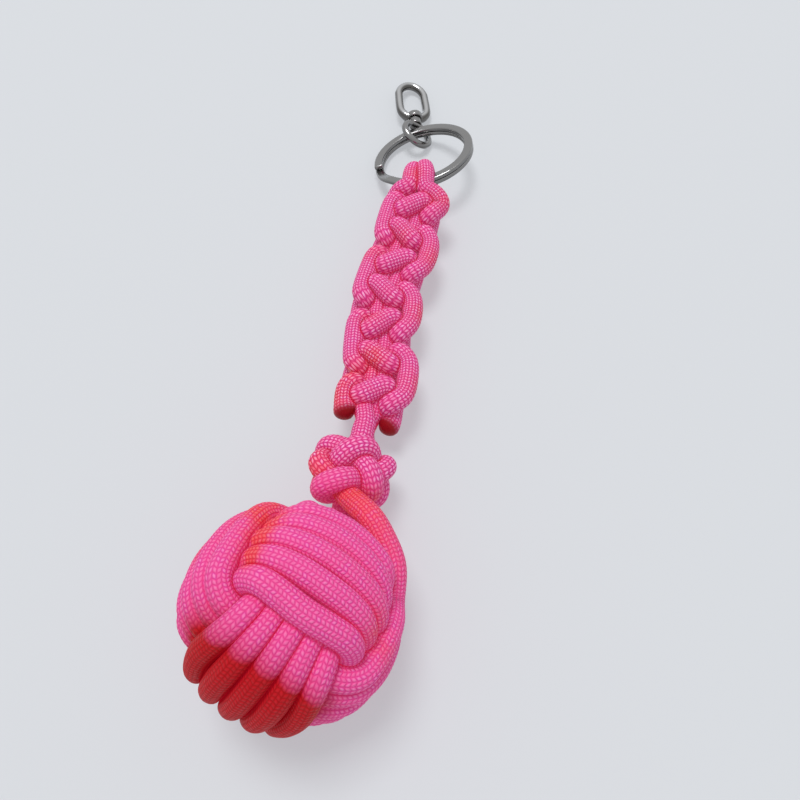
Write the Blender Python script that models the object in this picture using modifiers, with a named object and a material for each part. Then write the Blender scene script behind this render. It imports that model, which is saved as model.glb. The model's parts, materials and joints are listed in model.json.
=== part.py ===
"""A monkey fist keyring: a corded ball, a button knot, a woven bar, a split ring and a swivel.

The keyring lies along +Y on the plane z = 0, in metres, with +Z up. The origin is on that plane under
the middle of the fist. The whole knot is one cord, whose route is followed from the fist to the ring
and back. A real cord is squashed where it is drawn up tight, so each solid cord is only as thick as
its route leaves room for, less a named gap.
"""

from math import cos, hypot, pi, radians, sin, sqrt

import bmesh
import bpy
import numpy as np
from mathutils import Matrix, Vector

MM = 0.001

# Monkey fist
FIST_DIAMETER = 35.0 * MM
DRAWN_DIAMETER = 35.0 * MM
# Where the fist's own directions point: across L and toward B; up T is square to both
FIST_ACROSS = Vector((-0.895, 0.33, 0.301))
FIST_TOWARD = Vector((-0.154, -0.861, 0.487))
POINTS_A_TURN = 24
WINDING_GAP = 0.42 * MM
CORE_GAP = 0.3 * MM
SHARE_CUT_FLAT = 0.13
SHIFT_HALF_ARC = 43.0

# Distance from the fist's axis of a middle, a next and an outer turn, at every 15 degrees from the
# middle of a side where the turn lies on top to the middle of a side where it lies underneath
TURN_RADII = (
    (15.9, 15.9, 15.8, 14.6, 12.4, 12.0, 11.8),
    (15.5, 15.6, 15.4, 13.9, 11.9, 12.2, 11.7),
    (13.7, 14.0, 14.5, 13.0, 9.7, 9.6, 9.0),
)
# Distance of the same turns from the middle of their band, at the same angles
TURN_OFFSETS = (
    (0.0, 0.0, 0.0, 0.0, 0.0, 0.0, 0.0),
    (4.1, 3.95, 3.65, 3.1, 3.15, 3.4, 3.7),
    (8.3, 7.9, 7.1, 6.2, 5.6, 6.35, 6.95),
)
# Where the cord turns a corner of the fist, from one band to the next
FIRST_CORNER = ((8.8, -10.2, -7.9), (8.2, -10.9, -7.45))
SECOND_CORNER = ((-7.9, 11.8, -7.75), (-7.5, 7.25, -11.85))
# The cord's two ends between the winding and the button knot, from the fist's middle: where each
# leaves the winding, and where it goes on into the knot
LOWER_TAIL = ((13.1, 6.6, 1.9), (11.9, 6.0, -0.6), (12.2, 7.9, -2.1), (14.2, 9.5, -4.6), (13.8, 11.8, -7.8))
LOWER_LEAD = ((7.5, 16.8, -10.2), (3.2, 19.4, -10.0))
UPPER_TAIL = ((14.5, 10.5, 0.1), (11.4, 15.2, 0.7), (8.7, 18.1, 0.2))
UPPER_LEAD = ((5.4, 20.6, -2.2),)

# Button knot between the fist and the neck: one of its two alike strands, as distance from the
# knot's axis, angle round it in degrees, and distance along it toward the neck
KNOT_CENTRE = Vector((2.6, 26.6, 10.0)) * MM
KNOT_AXIS = Vector((0.05, 1.0, -0.1))
KNOT_ROLL = -75.0
KNOT_SIZE = 0.88
CORD_GAP = 0.3 * MM
KNOT_STRAND = (
    (2.9, 21.0, -4.1), (5.9, 55.0, -2.3), (7.7, 67.0, -0.7), (6.8, 79.0, 1.4), (4.1, 103.0, 3.4),
    (4.5, 149.0, 5.0), (6.2, 173.0, 5.2), (6.9, 191.0, 4.2), (6.4, 208.0, 2.3), (4.5, 241.0, 0.3),
    (5.2, 290.0, -1.9), (6.7, 317.0, -1.7), (6.6, 335.0, 0.5), (4.3, 358.0, 2.8), (4.4, 409.0, 4.7),
    (6.2, 442.0, 5.3), (6.8, 465.0, 4.8), (6.5, 480.0, 2.5), (4.1, 495.0, 0.2), (4.4, 536.0, -1.7),
    (6.4, 559.0, -3.5), (6.9, 581.0, -5.1), (5.7, 603.0, -5.5), (3.2, 627.0, -4.7), (1.7, 638.0, -2.4),
    (1.5, 618.0, 1.4), (1.5, 613.0, 5.4),
)

# Neck, where the two cords lie one above the other and the bar bends sideways
NECK = Vector((3.05, 35.6, 9.0)) * MM
NECK_SPACING = 3.2 * MM

# Woven bar, from the neck to the ring: its middle line, then one half knot
BAR_LINE = (
    (3.05, 35.6, 9.0), (2.7, 42.5, 7.9), (2.9, 50.0, 7.3), (1.5, 57.3, 7.0), (0.7, 65.0, 7.0),
    (0.1, 73.2, 7.0), (1.0, 81.7, 7.0), (1.4, 90.0, 7.2), (1.6, 98.0, 7.5),
)
HALF_KNOTS = 7
LEVEL_PITCH = 8.55 * MM
FIRST_LEVEL = 10.0 * MM
BAR_HALF_WIDTH = 6.75 * MM
CROSSING_HEIGHT = 3.2 * MM
CORE_STRAND_SPACING = 2.96 * MM
# The front strand over one level: across as a share of the half width, up as a share of the crossing's
# height, and along the bar in millimetres
HALF_KNOT = (
    (-1.0, -0.65, -0.3), (-0.8, -0.63, 1.7), (-0.6, 0.46, 1.3), (-0.45, 0.91, 1.9), (0.0, 1.0, 0.0),
    (0.45, 0.91, -1.9), (0.6, 0.46, -1.3), (0.8, -0.63, -1.7), (1.0, -0.65, 0.3),
)

# From the bights to the first half knot and past the last one: across, up and along the bar
FRONT_SHOULDER = ((-2.6, 3.2, 4.6), (-4.9, 2.3, 5.3), (-6.6, 0.2, 6.3))
BACK_SHOULDER = ((2.4, 3.3, 4.6), (5.0, 3.1, 5.4), (7.6, 2.6, 6.9))
LAST_END = ((6.0, -1.8, 4.0), (5.3, -1.5, 6.4))
# The back strand's turns on the right are slack: their reach as a share, and how much they draw together
RIGHT_SLACK = 1.2
SLACK_DRAW = 1.2 * MM
BIGHT_ANGLE = -82.0
BIGHT_REACH = 3.15 * MM

# Split ring
RING_CENTRE = Vector((0.25, 117.9, 5.6)) * MM
RING_NORMAL = Vector((-0.295, 0.138, 0.946))
RING_RADIUS = 11.9 * MM
RING_WIRE_WIDTH = 2.2 * MM
RING_WIRE_HEIGHT = 0.88 * MM
RING_LAYER_GAP = 0.42 * MM
RING_JOG_ANGLE = 220.0
RING_JOG_ARC = 42.0
RING_SEGMENT_ARC = 6.0
BIGHT_GAP = 0.3 * MM

# Swivel
SWIVEL_RING_ANGLE = 109.0
SWIVEL_YAW = radians(106.0)
SWIVEL_SLOPE = radians(-3.5)
EYE_TILT = radians(34.0)
EYE_SLACK = 0.6 * MM
EYE_LIFT = 0.2 * MM
EYE_RADIUS = 3.8 * MM
EYE_WIRE = 1.8 * MM
BOSS_DIAMETER = 3.4 * MM
BOSS_LENGTH = 1.6 * MM
RIVET_DIAMETER = 1.5 * MM
RIVET_DEPTH = 1.2 * MM
RIVET_GAP = 0.3 * MM
HEAD_DIAMETER = 3.0 * MM
HEAD_HEIGHT = 0.8 * MM
COLLAR_DIAMETER = 4.4 * MM
COLLAR_HEIGHT = 1.8 * MM
BOW_LENGTH = 15.2 * MM
BOW_WIDTH = 9.4 * MM
BOW_WIRE = 2.0 * MM
BOW_TILT = radians(10.0)


def clear_scene():
    for thing in list(bpy.data.objects):
        bpy.data.objects.remove(thing, do_unlink=True)


def new_collection(name):
    collection = bpy.data.collections.new(name)
    bpy.context.scene.collection.children.link(collection)
    return collection


def make_material(name, colour, roughness, metallic):
    material = bpy.data.materials.new(name)
    material.use_nodes = True
    shader = material.node_tree.nodes["Principled BSDF"]
    shader.inputs["Base Color"].default_value = (*colour, 1.0)
    shader.inputs["Roughness"].default_value = roughness
    shader.inputs["Metallic"].default_value = metallic
    return material


def smooth_route(points, spacing):
    """Even points on a smooth curve through hand-chosen ones."""
    points = np.array(points, float)
    ends = np.vstack([2 * points[0] - points[1], points, 2 * points[-1] - points[-2]])
    fine = []
    for a, b, c, d in zip(ends, ends[1:], ends[2:], ends[3:]):
        for t in np.arange(0.0, 1.0, 0.05):
            fine.append(
                b + 0.5 * t * ((c - a) + t * ((2 * a - 5 * b + 4 * c - d) + t * (3 * b - a - 3 * c + d)))
            )
    fine.append(points[-1])
    return even_route(np.array(fine), spacing)


def even_route(fine, spacing):
    travelled = np.concatenate([[0.0], np.cumsum(np.linalg.norm(np.diff(fine, axis=0), axis=1))])
    count = max(2, round(travelled[-1] / spacing) + 1)
    places = np.linspace(0.0, travelled[-1], count)
    return np.stack([np.interp(places, travelled, fine[:, k]) for k in range(3)], axis=1)


def least_distance(routes, nearest_along):
    """Least distance between points of the routes, leaving out points close together on one cord."""
    fine = [even_route(route, 0.5 * MM) for route in routes]
    least = 1.0
    for i, first in enumerate(fine):
        for j, second in enumerate(fine[i:], i):
            apart = np.linalg.norm(first[:, None] - second[None], axis=2)
            if i == j:
                rank = np.arange(len(first))
                apart[np.abs(rank[:, None] - rank[None]) * 0.5 * MM < nearest_along] = 1.0
            least = min(least, apart.min())
    return least


def least_between(first, second):
    first, second = even_route(first, 0.5 * MM), even_route(second, 0.5 * MM)
    return np.linalg.norm(first[:, None] - second[None], axis=2).min()


def add_tube(name, route, diameter, material, collection, radii=None):
    """A round cord or wire along a route: six sides at a bevel resolution of 1."""
    curve = bpy.data.curves.new(name, "CURVE")
    curve.dimensions = "3D"
    curve.bevel_depth = diameter / 2
    curve.bevel_resolution = 1
    curve.use_fill_caps = True
    spline = curve.splines.new("POLY")
    spline.points.add(len(route) - 1)
    for index, place in enumerate(route):
        spline.points[index].co = (*place, 1.0)
        if radii is not None:
            spline.points[index].radius = radii[index]
    curve.materials.append(material)
    tube = bpy.data.objects.new(name, curve)
    collection.objects.link(tube)
    return tube


def as_mesh(tube, collection):
    """The same tube as a closed mesh, which a Boolean can cut or join."""
    bpy.context.view_layer.update()
    graph = bpy.context.evaluated_depsgraph_get()
    mesh = bpy.data.meshes.new_from_object(tube.evaluated_get(graph))
    shape = bmesh.new()
    shape.from_mesh(mesh)
    bmesh.ops.remove_doubles(shape, verts=shape.verts, dist=0.00001)
    bmesh.ops.recalc_face_normals(shape, faces=shape.faces)
    shape.to_mesh(mesh)
    shape.free()
    name = tube.name
    solid = bpy.data.objects.new(name + "_solid", mesh)
    solid.matrix_world = tube.matrix_world.copy()
    collection.objects.link(solid)
    bpy.data.objects.remove(tube, do_unlink=True)
    solid.name = name
    return solid


def add_boolean(target, cutter, operation):
    modifier = target.modifiers.new(operation.lower(), "BOOLEAN")
    modifier.operation = operation
    modifier.object = cutter
    modifier.solver = "EXACT"


def as_cutter(thing):
    thing.hide_render = True
    thing.display_type = "WIRE"
    return thing


def axes_matrix(x_axis, y_axis, z_axis, origin):
    matrix = Matrix((x_axis, y_axis, z_axis)).transposed().to_4x4()
    matrix.translation = origin
    return matrix


# The fist

def fist_axes():
    """The fist's three directions: across L, toward B and up T, a right-handed set."""
    toward = FIST_TOWARD.normalized()
    up = FIST_ACROSS.cross(toward).normalized()
    return toward.cross(up), toward, up


def turn_place(level, angle, rows):
    """Reads a turn's row between its 15 degree steps and between neighbouring turns."""
    folded = abs((angle + 90.0) % 180.0 - 90.0)
    steps = np.arange(0.0, 91.0, 15.0)
    level = min(abs(level), 2.0)
    inner = min(int(level), 1)
    share = level - inner
    near, far = np.interp(folded, steps, rows[inner]), np.interp(folded, steps, rows[inner + 1])
    return (1 - share) * near + share * far


def band(axis, over, under, first_angle, last_angle, first_level, way, shift_angle):
    """Five turns round an axis, on top at `over` and beneath at `under`, shifting in the hidden stretch."""
    points = []
    for angle in np.arange(first_angle, last_angle + 1.0, 360.0 / POINTS_A_TURN):
        level = first_level
        for turn in range(4):
            done = (angle - shift_angle - 360.0 * turn + SHIFT_HALF_ARC) / (2 * SHIFT_HALF_ARC)
            done = min(max(done, 0.0), 1.0)
            level += way * done * done * (3 - 2 * done)
        reach = turn_place(level, angle, TURN_RADII)
        offset = np.sign(level) * turn_place(level, angle, TURN_OFFSETS)
        turned = radians(angle)
        points.append(offset * axis + reach * (cos(turned) * over + sin(turned) * under))
    return points


def fist_turns():
    """The winding's route in the fist's own directions and millimetres, without its two tails."""
    across, toward, up = np.eye(3)
    first = band(up, -across, toward, -30.0, 1650.0, 2.0, -1.0, 270.0)
    second = band(-across, toward, -up, 165.0, 1830.0, -2.0, 1.0, 450.0)
    third = band(toward, up, -across, 165.0, 1830.0, 2.0, -1.0, 450.0)
    return np.array(first + list(FIRST_CORNER) + second + list(SECOND_CORNER) + third)


def fist_centre(turns, thickness):
    """The fist's middle stands over the origin, so high that its lowest cord is cut just flat."""
    lowest = min(turns[:, 2])
    return Vector((0.0, 0.0, thickness / 2 - lowest - SHARE_CUT_FLAT * thickness))


def winding_turns():
    """The winding's route turned to the fist's own directions, from the fist's middle."""
    scale = MM * FIST_DIAMETER / DRAWN_DIAMETER
    return fist_turns() @ np.array(fist_axes()) * scale


def tail_route(points):
    """A smooth tail whose last stretch runs straight."""
    curve = smooth_route(np.array(points), 1.4 * MM)
    direction = curve[-1] - curve[-2]
    return np.vstack([curve, curve[-1] + 2.0 * direction / np.linalg.norm(direction) * MM])


def fist_route(turns, centre):
    """The whole winding with its two tails, in order along the cord."""
    upper = [turns[0]] + [np.array(place) * MM for place in UPPER_TAIL]
    lower = [turns[-1]] + [np.array(place) * MM for place in LOWER_TAIL]
    route = np.vstack([tail_route(upper)[:0:-1], turns, tail_route(lower)[1:]])
    return route + np.array(centre)


def build_fist(parts, cutters, cord, steel):
    turns = winding_turns()
    thickness = least_distance([fist_route(turns, (0.0, 0.0, 0.0))], 4.0 * MM) - WINDING_GAP
    centre = fist_centre(turns, thickness)
    route = fist_route(turns, centre)
    gap = least_distance([route], 4.0 * MM) - thickness
    print("fist winding: least gap to itself", round(gap / MM, 3), "mm, cord", round(thickness / MM, 3), "mm")
    winding = as_mesh(add_tube("fist_winding", route, thickness, cord, parts), parts)
    floor = as_cutter(add_box("floor_cutter", Vector((0, 0, -FIST_DIAMETER / 2)), FIST_DIAMETER, cutters))
    add_boolean(winding, floor, "DIFFERENCE")
    reach = np.linalg.norm(even_route(turns, 0.5 * MM), axis=1).min()
    core_radius = reach - thickness / 2 - CORE_GAP
    print("core ball: diameter", round(2 * core_radius / MM, 3), "mm, height", round(centre.z / MM, 3), "mm")
    add_ball("core_ball", centre, core_radius, steel, parts)
    return route, centre


def add_ball(name, centre, radius, material, parts):
    mesh = bpy.data.meshes.new(name)
    shape = bmesh.new()
    bmesh.ops.create_uvsphere(shape, u_segments=24, v_segments=14, radius=radius)
    shape.to_mesh(mesh)
    shape.free()
    mesh.shade_smooth()
    mesh.materials.append(material)
    ball = bpy.data.objects.new(name, mesh)
    ball.location = centre
    parts.objects.link(ball)
    return ball


def add_box(name, centre, size, collection):
    mesh = bpy.data.meshes.new(name)
    shape = bmesh.new()
    bmesh.ops.create_cube(shape, size=size)
    shape.to_mesh(mesh)
    shape.free()
    box = bpy.data.objects.new(name, mesh)
    box.location = centre
    collection.objects.link(box)
    return box


# The button knot and the neck

def knot_points(turned):
    """One of the knot's strands inside the knot, turned half round for the other."""
    axis = KNOT_AXIS.normalized()
    first = axis.cross(Vector((0.0, 0.0, 1.0))).normalized()
    second = axis.cross(first)
    points = []
    for distance, angle, along in KNOT_STRAND:
        around = radians(turned + KNOT_ROLL - angle)
        place = distance * (cos(around) * first + sin(around) * second) + along * axis
        points.append(KNOT_CENTRE + place * MM * KNOT_SIZE)
    return points


def knot_routes(winding, centre):
    """Both strands from the winding's ends, through the knot and to the hinge in the neck."""
    back = Vector(BAR_LINE[0]) - Vector(BAR_LINE[1])
    back.normalize()
    ends = {"upper": (winding[0], winding[0] - winding[1], UPPER_LEAD, 0.0, -1.0),
            "lower": (winding[-1], winding[-1] - winding[-2], LOWER_LEAD, 180.0, 1.0)}
    routes = {}
    for name, (end, leaving, lead, turned, rise) in ends.items():
        leaving = leaving / np.linalg.norm(leaving)
        start = end + leaving * CORD_GAP
        height = Vector((0.0, 0.0, rise * NECK_SPACING / 2))
        points = [start, start + leaving * 2.0 * MM]
        points += [centre + Vector(place) * MM for place in lead]
        points += knot_points(turned) + [NECK + height + back * 1.5 * MM, NECK + height]
        routes[name] = smooth_route(points, 1.6 * MM)
    return routes


def rounded_end(route, thickness):
    """Adds a round nose to a route's end, centred on the end, as points and their share of the radius."""
    direction = route[-1] - route[-2]
    direction = direction / np.linalg.norm(direction)
    shares = np.sin(np.linspace(0.0, pi / 2, 5))[1:]
    nose = [route[-1] + direction * thickness / 2 * share * 0.98 for share in shares]
    radii = [1.0] * len(route) + [max(sqrt(1 - share * share), 0.12) for share in shares]
    return np.vstack([route, nose]), radii


def build_knot(parts, cord, routes):
    thickness = least_distance(routes.values(), 4.0 * MM) - CORD_GAP
    print("button knot: cord solid", round(thickness / MM, 3), "mm")
    for name, route in routes.items():
        shaped, radii = rounded_end(route, thickness)
        add_tube("lanyard_strand_" + name, shaped, thickness, cord, parts, radii)
    return thickness


# The woven bar

class Bar:
    """The bar's middle line, and places given across, up and along it from the ring."""

    def __init__(self):
        at_ring, _ = ring_place(BIGHT_ANGLE)
        self.line = smooth_route(list(np.array(BAR_LINE) * MM) + [np.array(at_ring)], 0.5 * MM)[::-1]
        steps = np.linalg.norm(np.diff(self.line, axis=0), axis=1)
        self.travelled = np.concatenate([[0.0], np.cumsum(steps)])
        self.length = self.travelled[-1]

    def place(self, across, up, along):
        centre = self.on_line(along)
        direction = self.on_line(along - 1.0 * MM) - self.on_line(along + 1.0 * MM)
        direction = direction / np.linalg.norm(direction)
        side = np.cross(direction, (0.0, 0.0, 1.0))
        side = side / np.linalg.norm(side)
        return centre + across * side + up * np.cross(side, direction)

    def on_line(self, along):
        inside = min(max(along, 0.0), self.length)
        centre = np.array([np.interp(inside, self.travelled, self.line[:, k]) for k in range(3)])
        if along < 0.0:
            ending = self.line[0] - self.line[4]
            centre = centre - along * ending / np.linalg.norm(ending)
        return centre


def working_route(bar, front, bight_end):
    """The front strand from its bight down to its melted end, or the back one, turned half round the bar."""
    turn = 1.0 if front else -1.0
    points = [bar.place(*(np.array(place) * MM)) for place in (FRONT_SHOULDER if front else BACK_SHOULDER)]
    for level in range(HALF_KNOTS):
        way = turn if level % 2 == 0 else -turn
        for across, up, along in HALF_KNOT:
            beside, above = way * across * BAR_HALF_WIDTH, turn * up * CROSSING_HEIGHT
            below = FIRST_LEVEL + level * LEVEL_PITCH + along * MM
            if not front and abs(across) == 1.0 and beside > 0.0:
                beside, below = beside * RIGHT_SLACK, below + np.sign(along) * SLACK_DRAW
            points.append(bar.place(beside, above, below))
    last = FIRST_LEVEL + (HALF_KNOTS - 1) * LEVEL_PITCH
    way = 1.0 if HALF_KNOTS % 2 else -1.0
    for across, up, along in LAST_END:
        points.append(bar.place(turn * way * across * MM, turn * up * MM, last + along * MM))
    return smooth_route(after_end(*bight_end) + points, 1.7 * MM)


def after_end(end, leaving):
    """Two points that go on straight past another piece's end, a gap away from it."""
    leaving = leaving / np.linalg.norm(leaving)
    start = end + leaving * CORD_GAP
    return [start, start + leaving * 1.5 * MM]


def core_route(bar, way, neck_thickness, bight_start):
    """A core strand from the neck's hinge, where it lies above or below the other, to its bight."""
    across = way * CORE_STRAND_SPACING / 2
    height = -way * NECK_SPACING / 2
    start = bar.length - neck_thickness / 2 - CORD_GAP
    points = [bar.place(0.0, height, start), bar.place(0.0, height, start - 1.6 * MM),
              bar.place(0.7 * across, 0.72 * height, start - 4.2 * MM)]
    for along in np.arange(start - 7.5 * MM, 8.0 * MM, -4.0 * MM):
        points.append(bar.place(across, 0.0, along))
    points.append(bar.place(across, -1.3 * MM, 5.8 * MM))
    return smooth_route(points + after_end(*bight_start)[::-1], 2.4 * MM)


def bight_route(way):
    """A loop over the ring's wire, from the core strand below to the working strand on top."""
    beside = np.degrees(CORE_STRAND_SPACING / 2 / RING_RADIUS)
    centre, _ = ring_place(BIGHT_ANGLE + way * beside)
    inward = (RING_CENTRE - centre).normalized()
    normal = RING_NORMAL.normalized()
    points = [centre - normal * BIGHT_REACH - inward * 1.9 * MM]
    for angle in range(-90, 91, 20):
        turned = radians(angle)
        points.append(centre + BIGHT_REACH * (sin(turned) * normal + cos(turned) * inward))
    points.append(centre + normal * BIGHT_REACH - inward * 1.6 * MM)
    return smooth_route(points, 1.3 * MM)


def build_bar(parts, cord, neck_thickness):
    bar = Bar()
    routes = {}
    for side, way in (("left", -1.0), ("right", 1.0)):
        bight = bight_route(way)
        routes["ring_bight_" + side] = bight
        routes["bar_core_" + side] = core_route(bar, way, neck_thickness, (bight[0], bight[0] - bight[1]))
        front = side == "left"
        strand = working_route(bar, front, (bight[-1], bight[-1] - bight[-2]))
        routes["bar_strand_front" if front else "bar_strand_back"] = strand
    room = 2 * (BIGHT_REACH - hypot(RING_WIRE_WIDTH / 2, RING_WIRE_HEIGHT + RING_LAYER_GAP / 2) - BIGHT_GAP)
    thickness = min(cord_room(routes) - CORD_GAP, room)
    print("woven bar: cord solid", round(thickness / MM, 3), "mm, length", round(bar.length / MM, 2))
    for name, route in routes.items():
        add_tube(name, route, thickness, cord, parts)


def cord_room(routes):
    """Least distance between the bar's cords, leaving out the ends where one goes on into the next."""
    least = least_distance([routes["bar_strand_front"], routes["bar_strand_back"]], 4.0 * MM)
    for side in ("left", "right"):
        for other in ("bar_strand_front", "bar_strand_back"):
            least = min(least, least_between(routes["bar_core_" + side], routes[other]))
    return min(least, least_between(routes["bar_core_left"], routes["bar_core_right"]))


# The split ring

def ring_axes():
    normal = RING_NORMAL.normalized()
    toward = Vector((1.0, 0.0, 0.0))
    first = (toward - normal * toward.dot(normal)).normalized()
    return first, normal.cross(first), normal


def ring_place(angle):
    """A point of the ring's middle line, by its compass direction seen from above, and its tangent."""
    normal = RING_NORMAL.normalized()
    flat = Vector((cos(radians(angle)), sin(radians(angle)), 0.0))
    flat.z = -(normal.x * flat.x + normal.y * flat.y) / normal.z
    flat.normalize()
    return RING_CENTRE + RING_RADIUS * flat, normal.cross(flat)


def build_ring(parts, steel, guides):
    layer = RING_WIRE_HEIGHT + RING_LAYER_GAP
    first = RING_JOG_ANGLE + RING_JOG_ARC / 2
    last = first + 720.0 - RING_JOG_ARC
    points = []
    for angle in np.arange(first, last + 0.5 * RING_SEGMENT_ARC, RING_SEGMENT_ARC):
        climbed = (angle - (first + 360.0 - RING_JOG_ARC)) / RING_JOG_ARC
        climbed = min(max(climbed, 0.0), 1.0)
        height = layer * (climbed * climbed * (3 - 2 * climbed) - 0.5)
        turned = radians(angle)
        points.append((RING_RADIUS * cos(turned), RING_RADIUS * sin(turned), height))
    section = wire_section("ring_section", RING_WIRE_WIDTH, RING_WIRE_HEIGHT, guides)
    ring = add_tube("split_ring", points, 0.0, steel, parts)
    ring.data.bevel_mode = "OBJECT"
    ring.data.bevel_object = section
    ring.data.twist_mode = "Z_UP"
    ring.matrix_world = axes_matrix(*ring_axes(), RING_CENTRE)
    return as_mesh(ring, parts)


def wire_section(name, width, height, guides):
    """A flat wire's section with its corners taken off, as a closed outline to sweep."""
    curve = bpy.data.curves.new(name, "CURVE")
    curve.dimensions = "2D"
    spline = curve.splines.new("POLY")
    chamfer = 0.3 * height
    corners = []
    for side_x, side_y in ((1, 1), (-1, 1), (-1, -1), (1, -1)):
        long_corner = (side_x * (width / 2 - chamfer), side_y * height / 2)
        short_corner = (side_x * width / 2, side_y * (height / 2 - chamfer))
        corners += [short_corner, long_corner] if side_x * side_y > 0 else [long_corner, short_corner]
    spline.points.add(len(corners) - 1)
    for point, corner in zip(spline.points, corners):
        point.co = (*corner, 0.0, 1.0)
    spline.use_cyclic_u = True
    outline = as_cutter(bpy.data.objects.new(name, curve))
    guides.objects.link(outline)
    return outline


# The swivel

def swivel_axes(tilt):
    """Along the swivel, across it and square to both, turned by a tilt about the swivel's length."""
    level_share = cos(SWIVEL_SLOPE)
    along = Vector((cos(SWIVEL_YAW) * level_share, sin(SWIVEL_YAW) * level_share, sin(SWIVEL_SLOPE)))
    level = along.cross(Vector((0.0, 0.0, 1.0))).normalized()
    upright = level.cross(along)
    face = cos(tilt) * upright + sin(tilt) * level
    return along, face.cross(along), face


def eye_centre():
    wire, _ = ring_place(SWIVEL_RING_ANGLE)
    along, _, _ = swivel_axes(0.0)
    return wire - along * EYE_SLACK + Vector((0.0, 0.0, EYE_LIFT))


def add_turned(name, profile, matrix, material, collection, steps=16):
    """A shape turned round its own Z axis from a profile in X and Z, run down its outer side."""
    mesh = bpy.data.meshes.new(name)
    edges = [(k, k + 1) for k in range(len(profile) - 1)]
    mesh.from_pydata([(x, 0.0, z) for x, z in profile], edges, [])
    thing = bpy.data.objects.new(name, mesh)
    thing.matrix_world = matrix
    screw = thing.modifiers.new("turn", "SCREW")
    screw.axis = "Z"
    screw.steps = steps
    screw.render_steps = steps
    screw.use_merge_vertices = True
    screw.merge_threshold = 0.00001
    if material:
        mesh.materials.append(material)
    collection.objects.link(thing)
    return thing


def rod_profile(radius, bottom, top):
    return [(0.0, top), (radius, top), (radius, bottom), (0.0, bottom)]


def build_swivel(parts, cutters, chrome):
    along, across, face = swivel_axes(EYE_TILT)
    centre = eye_centre()
    eye_frame = axes_matrix(along, across, face, centre)
    boss_start = EYE_RADIUS + EYE_WIRE / 2 - BOSS_LENGTH / 2
    boss_end = boss_start + BOSS_LENGTH
    # Frames whose Z axis runs along the swivel, for the turned pieces
    shaft_frame = axes_matrix(across, face, along, centre)
    eye = add_torus("swivel_eye", EYE_RADIUS, EYE_WIRE / 2, eye_frame, chrome, parts)
    boss = add_turned("boss_joiner", rod_profile(BOSS_DIAMETER / 2, boss_start - 0.3 * EYE_WIRE, boss_end),
                      shaft_frame, None, cutters)
    bore_radius = RIVET_DIAMETER / 2 + RIVET_GAP
    bore = add_turned("boss_cutter",
                      rod_profile(bore_radius, boss_end - RIVET_DEPTH - RIVET_GAP, boss_end + 1 * MM),
                      shaft_frame, None, cutters)
    add_boolean(eye, as_cutter(boss), "UNION")
    add_boolean(eye, as_cutter(bore), "DIFFERENCE")

    collar_start = boss_end + RIVET_GAP
    collar_end = collar_start + COLLAR_HEIGHT
    head_start = collar_end + RIVET_GAP
    rivet_profile = [
        (0.0, head_start + HEAD_HEIGHT), (0.6 * HEAD_DIAMETER / 2, head_start + HEAD_HEIGHT),
        (HEAD_DIAMETER / 2, head_start + 0.45 * HEAD_HEIGHT), (HEAD_DIAMETER / 2, head_start),
        (RIVET_DIAMETER / 2, head_start), (RIVET_DIAMETER / 2, boss_end - RIVET_DEPTH),
        (0.0, boss_end - RIVET_DEPTH),
    ]
    add_turned("swivel_rivet", rivet_profile, shaft_frame, chrome, parts)

    bow_along, bow_across, bow_face = swivel_axes(BOW_TILT)
    bow_frame = axes_matrix(bow_across, bow_face, bow_along, centre)
    build_bow(parts, cutters, chrome, bow_frame, collar_start, collar_end)


def add_torus(name, major, minor, matrix, material, parts):
    bpy.ops.mesh.primitive_torus_add(
        major_radius=major, minor_radius=minor, major_segments=28, minor_segments=10
    )
    torus = bpy.context.active_object
    torus.name = name
    torus.matrix_world = matrix
    for collection in list(torus.users_collection):
        collection.objects.unlink(torus)
    parts.objects.link(torus)
    torus.data.materials.append(material)
    torus.data.shade_smooth()
    return torus


def bow_route(base, top):
    """Half of an oval on two sides that draw in to the collar, across X and along Z."""
    half = (BOW_WIDTH - BOW_WIRE) / 2
    crown = top - BOW_WIRE / 2
    shoulder = crown - half * 1.15
    foot = COLLAR_DIAMETER / 2 - BOW_WIRE / 3
    left = [(-foot, base), (-foot - 0.55 * (half - foot), base + 0.9 * MM), (-half, base + 3.2 * MM)]
    arc = []
    for angle in range(180, -1, -20):
        turned = radians(angle)
        arc.append((half * cos(turned), shoulder + (crown - shoulder) * sin(turned)))
    right = [(-x, z) for x, z in reversed(left)]
    return [(x, 0.0, z) for x, z in left + arc + right]


def build_bow(parts, cutters, chrome, frame, collar_start, collar_end):
    middle = (collar_start + collar_end) / 2
    route = smooth_route(bow_route(middle, collar_start + BOW_LENGTH), 1.1 * MM)
    wire = add_tube("bow_joiner", route, BOW_WIRE, chrome, cutters)
    wire.data.bevel_resolution = 2
    wire.matrix_world = frame
    wire = as_cutter(as_mesh(wire, cutters))
    collar = rod_profile(COLLAR_DIAMETER / 2, collar_start, collar_end)
    bow = add_turned("swivel_bow", collar, frame, chrome, parts)
    bore = add_turned("collar_cutter",
                      rod_profile(RIVET_DIAMETER / 2 + RIVET_GAP, collar_start - 1 * MM, collar_end + 1 * MM),
                      frame, None, cutters)
    add_boolean(bow, wire, "UNION")
    add_boolean(bow, as_cutter(bore), "DIFFERENCE")


def main():
    clear_scene()
    parts = new_collection("monkey_fist_keyring")
    cutters = new_collection("cutters_and_guides")
    cord = make_material("cord", (0.85, 0.12, 0.33), 0.75, 0.0)
    steel = make_material("ball_steel", (0.55, 0.56, 0.58), 0.3, 1.0)
    chrome = make_material("chrome", (0.72, 0.73, 0.75), 0.15, 1.0)
    winding, centre = build_fist(parts, cutters, cord, steel)
    neck_thickness = build_knot(parts, cord, knot_routes(winding, centre))
    build_bar(parts, cord, neck_thickness)
    build_ring(parts, chrome, cutters)
    build_swivel(parts, cutters, chrome)


main()
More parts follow.
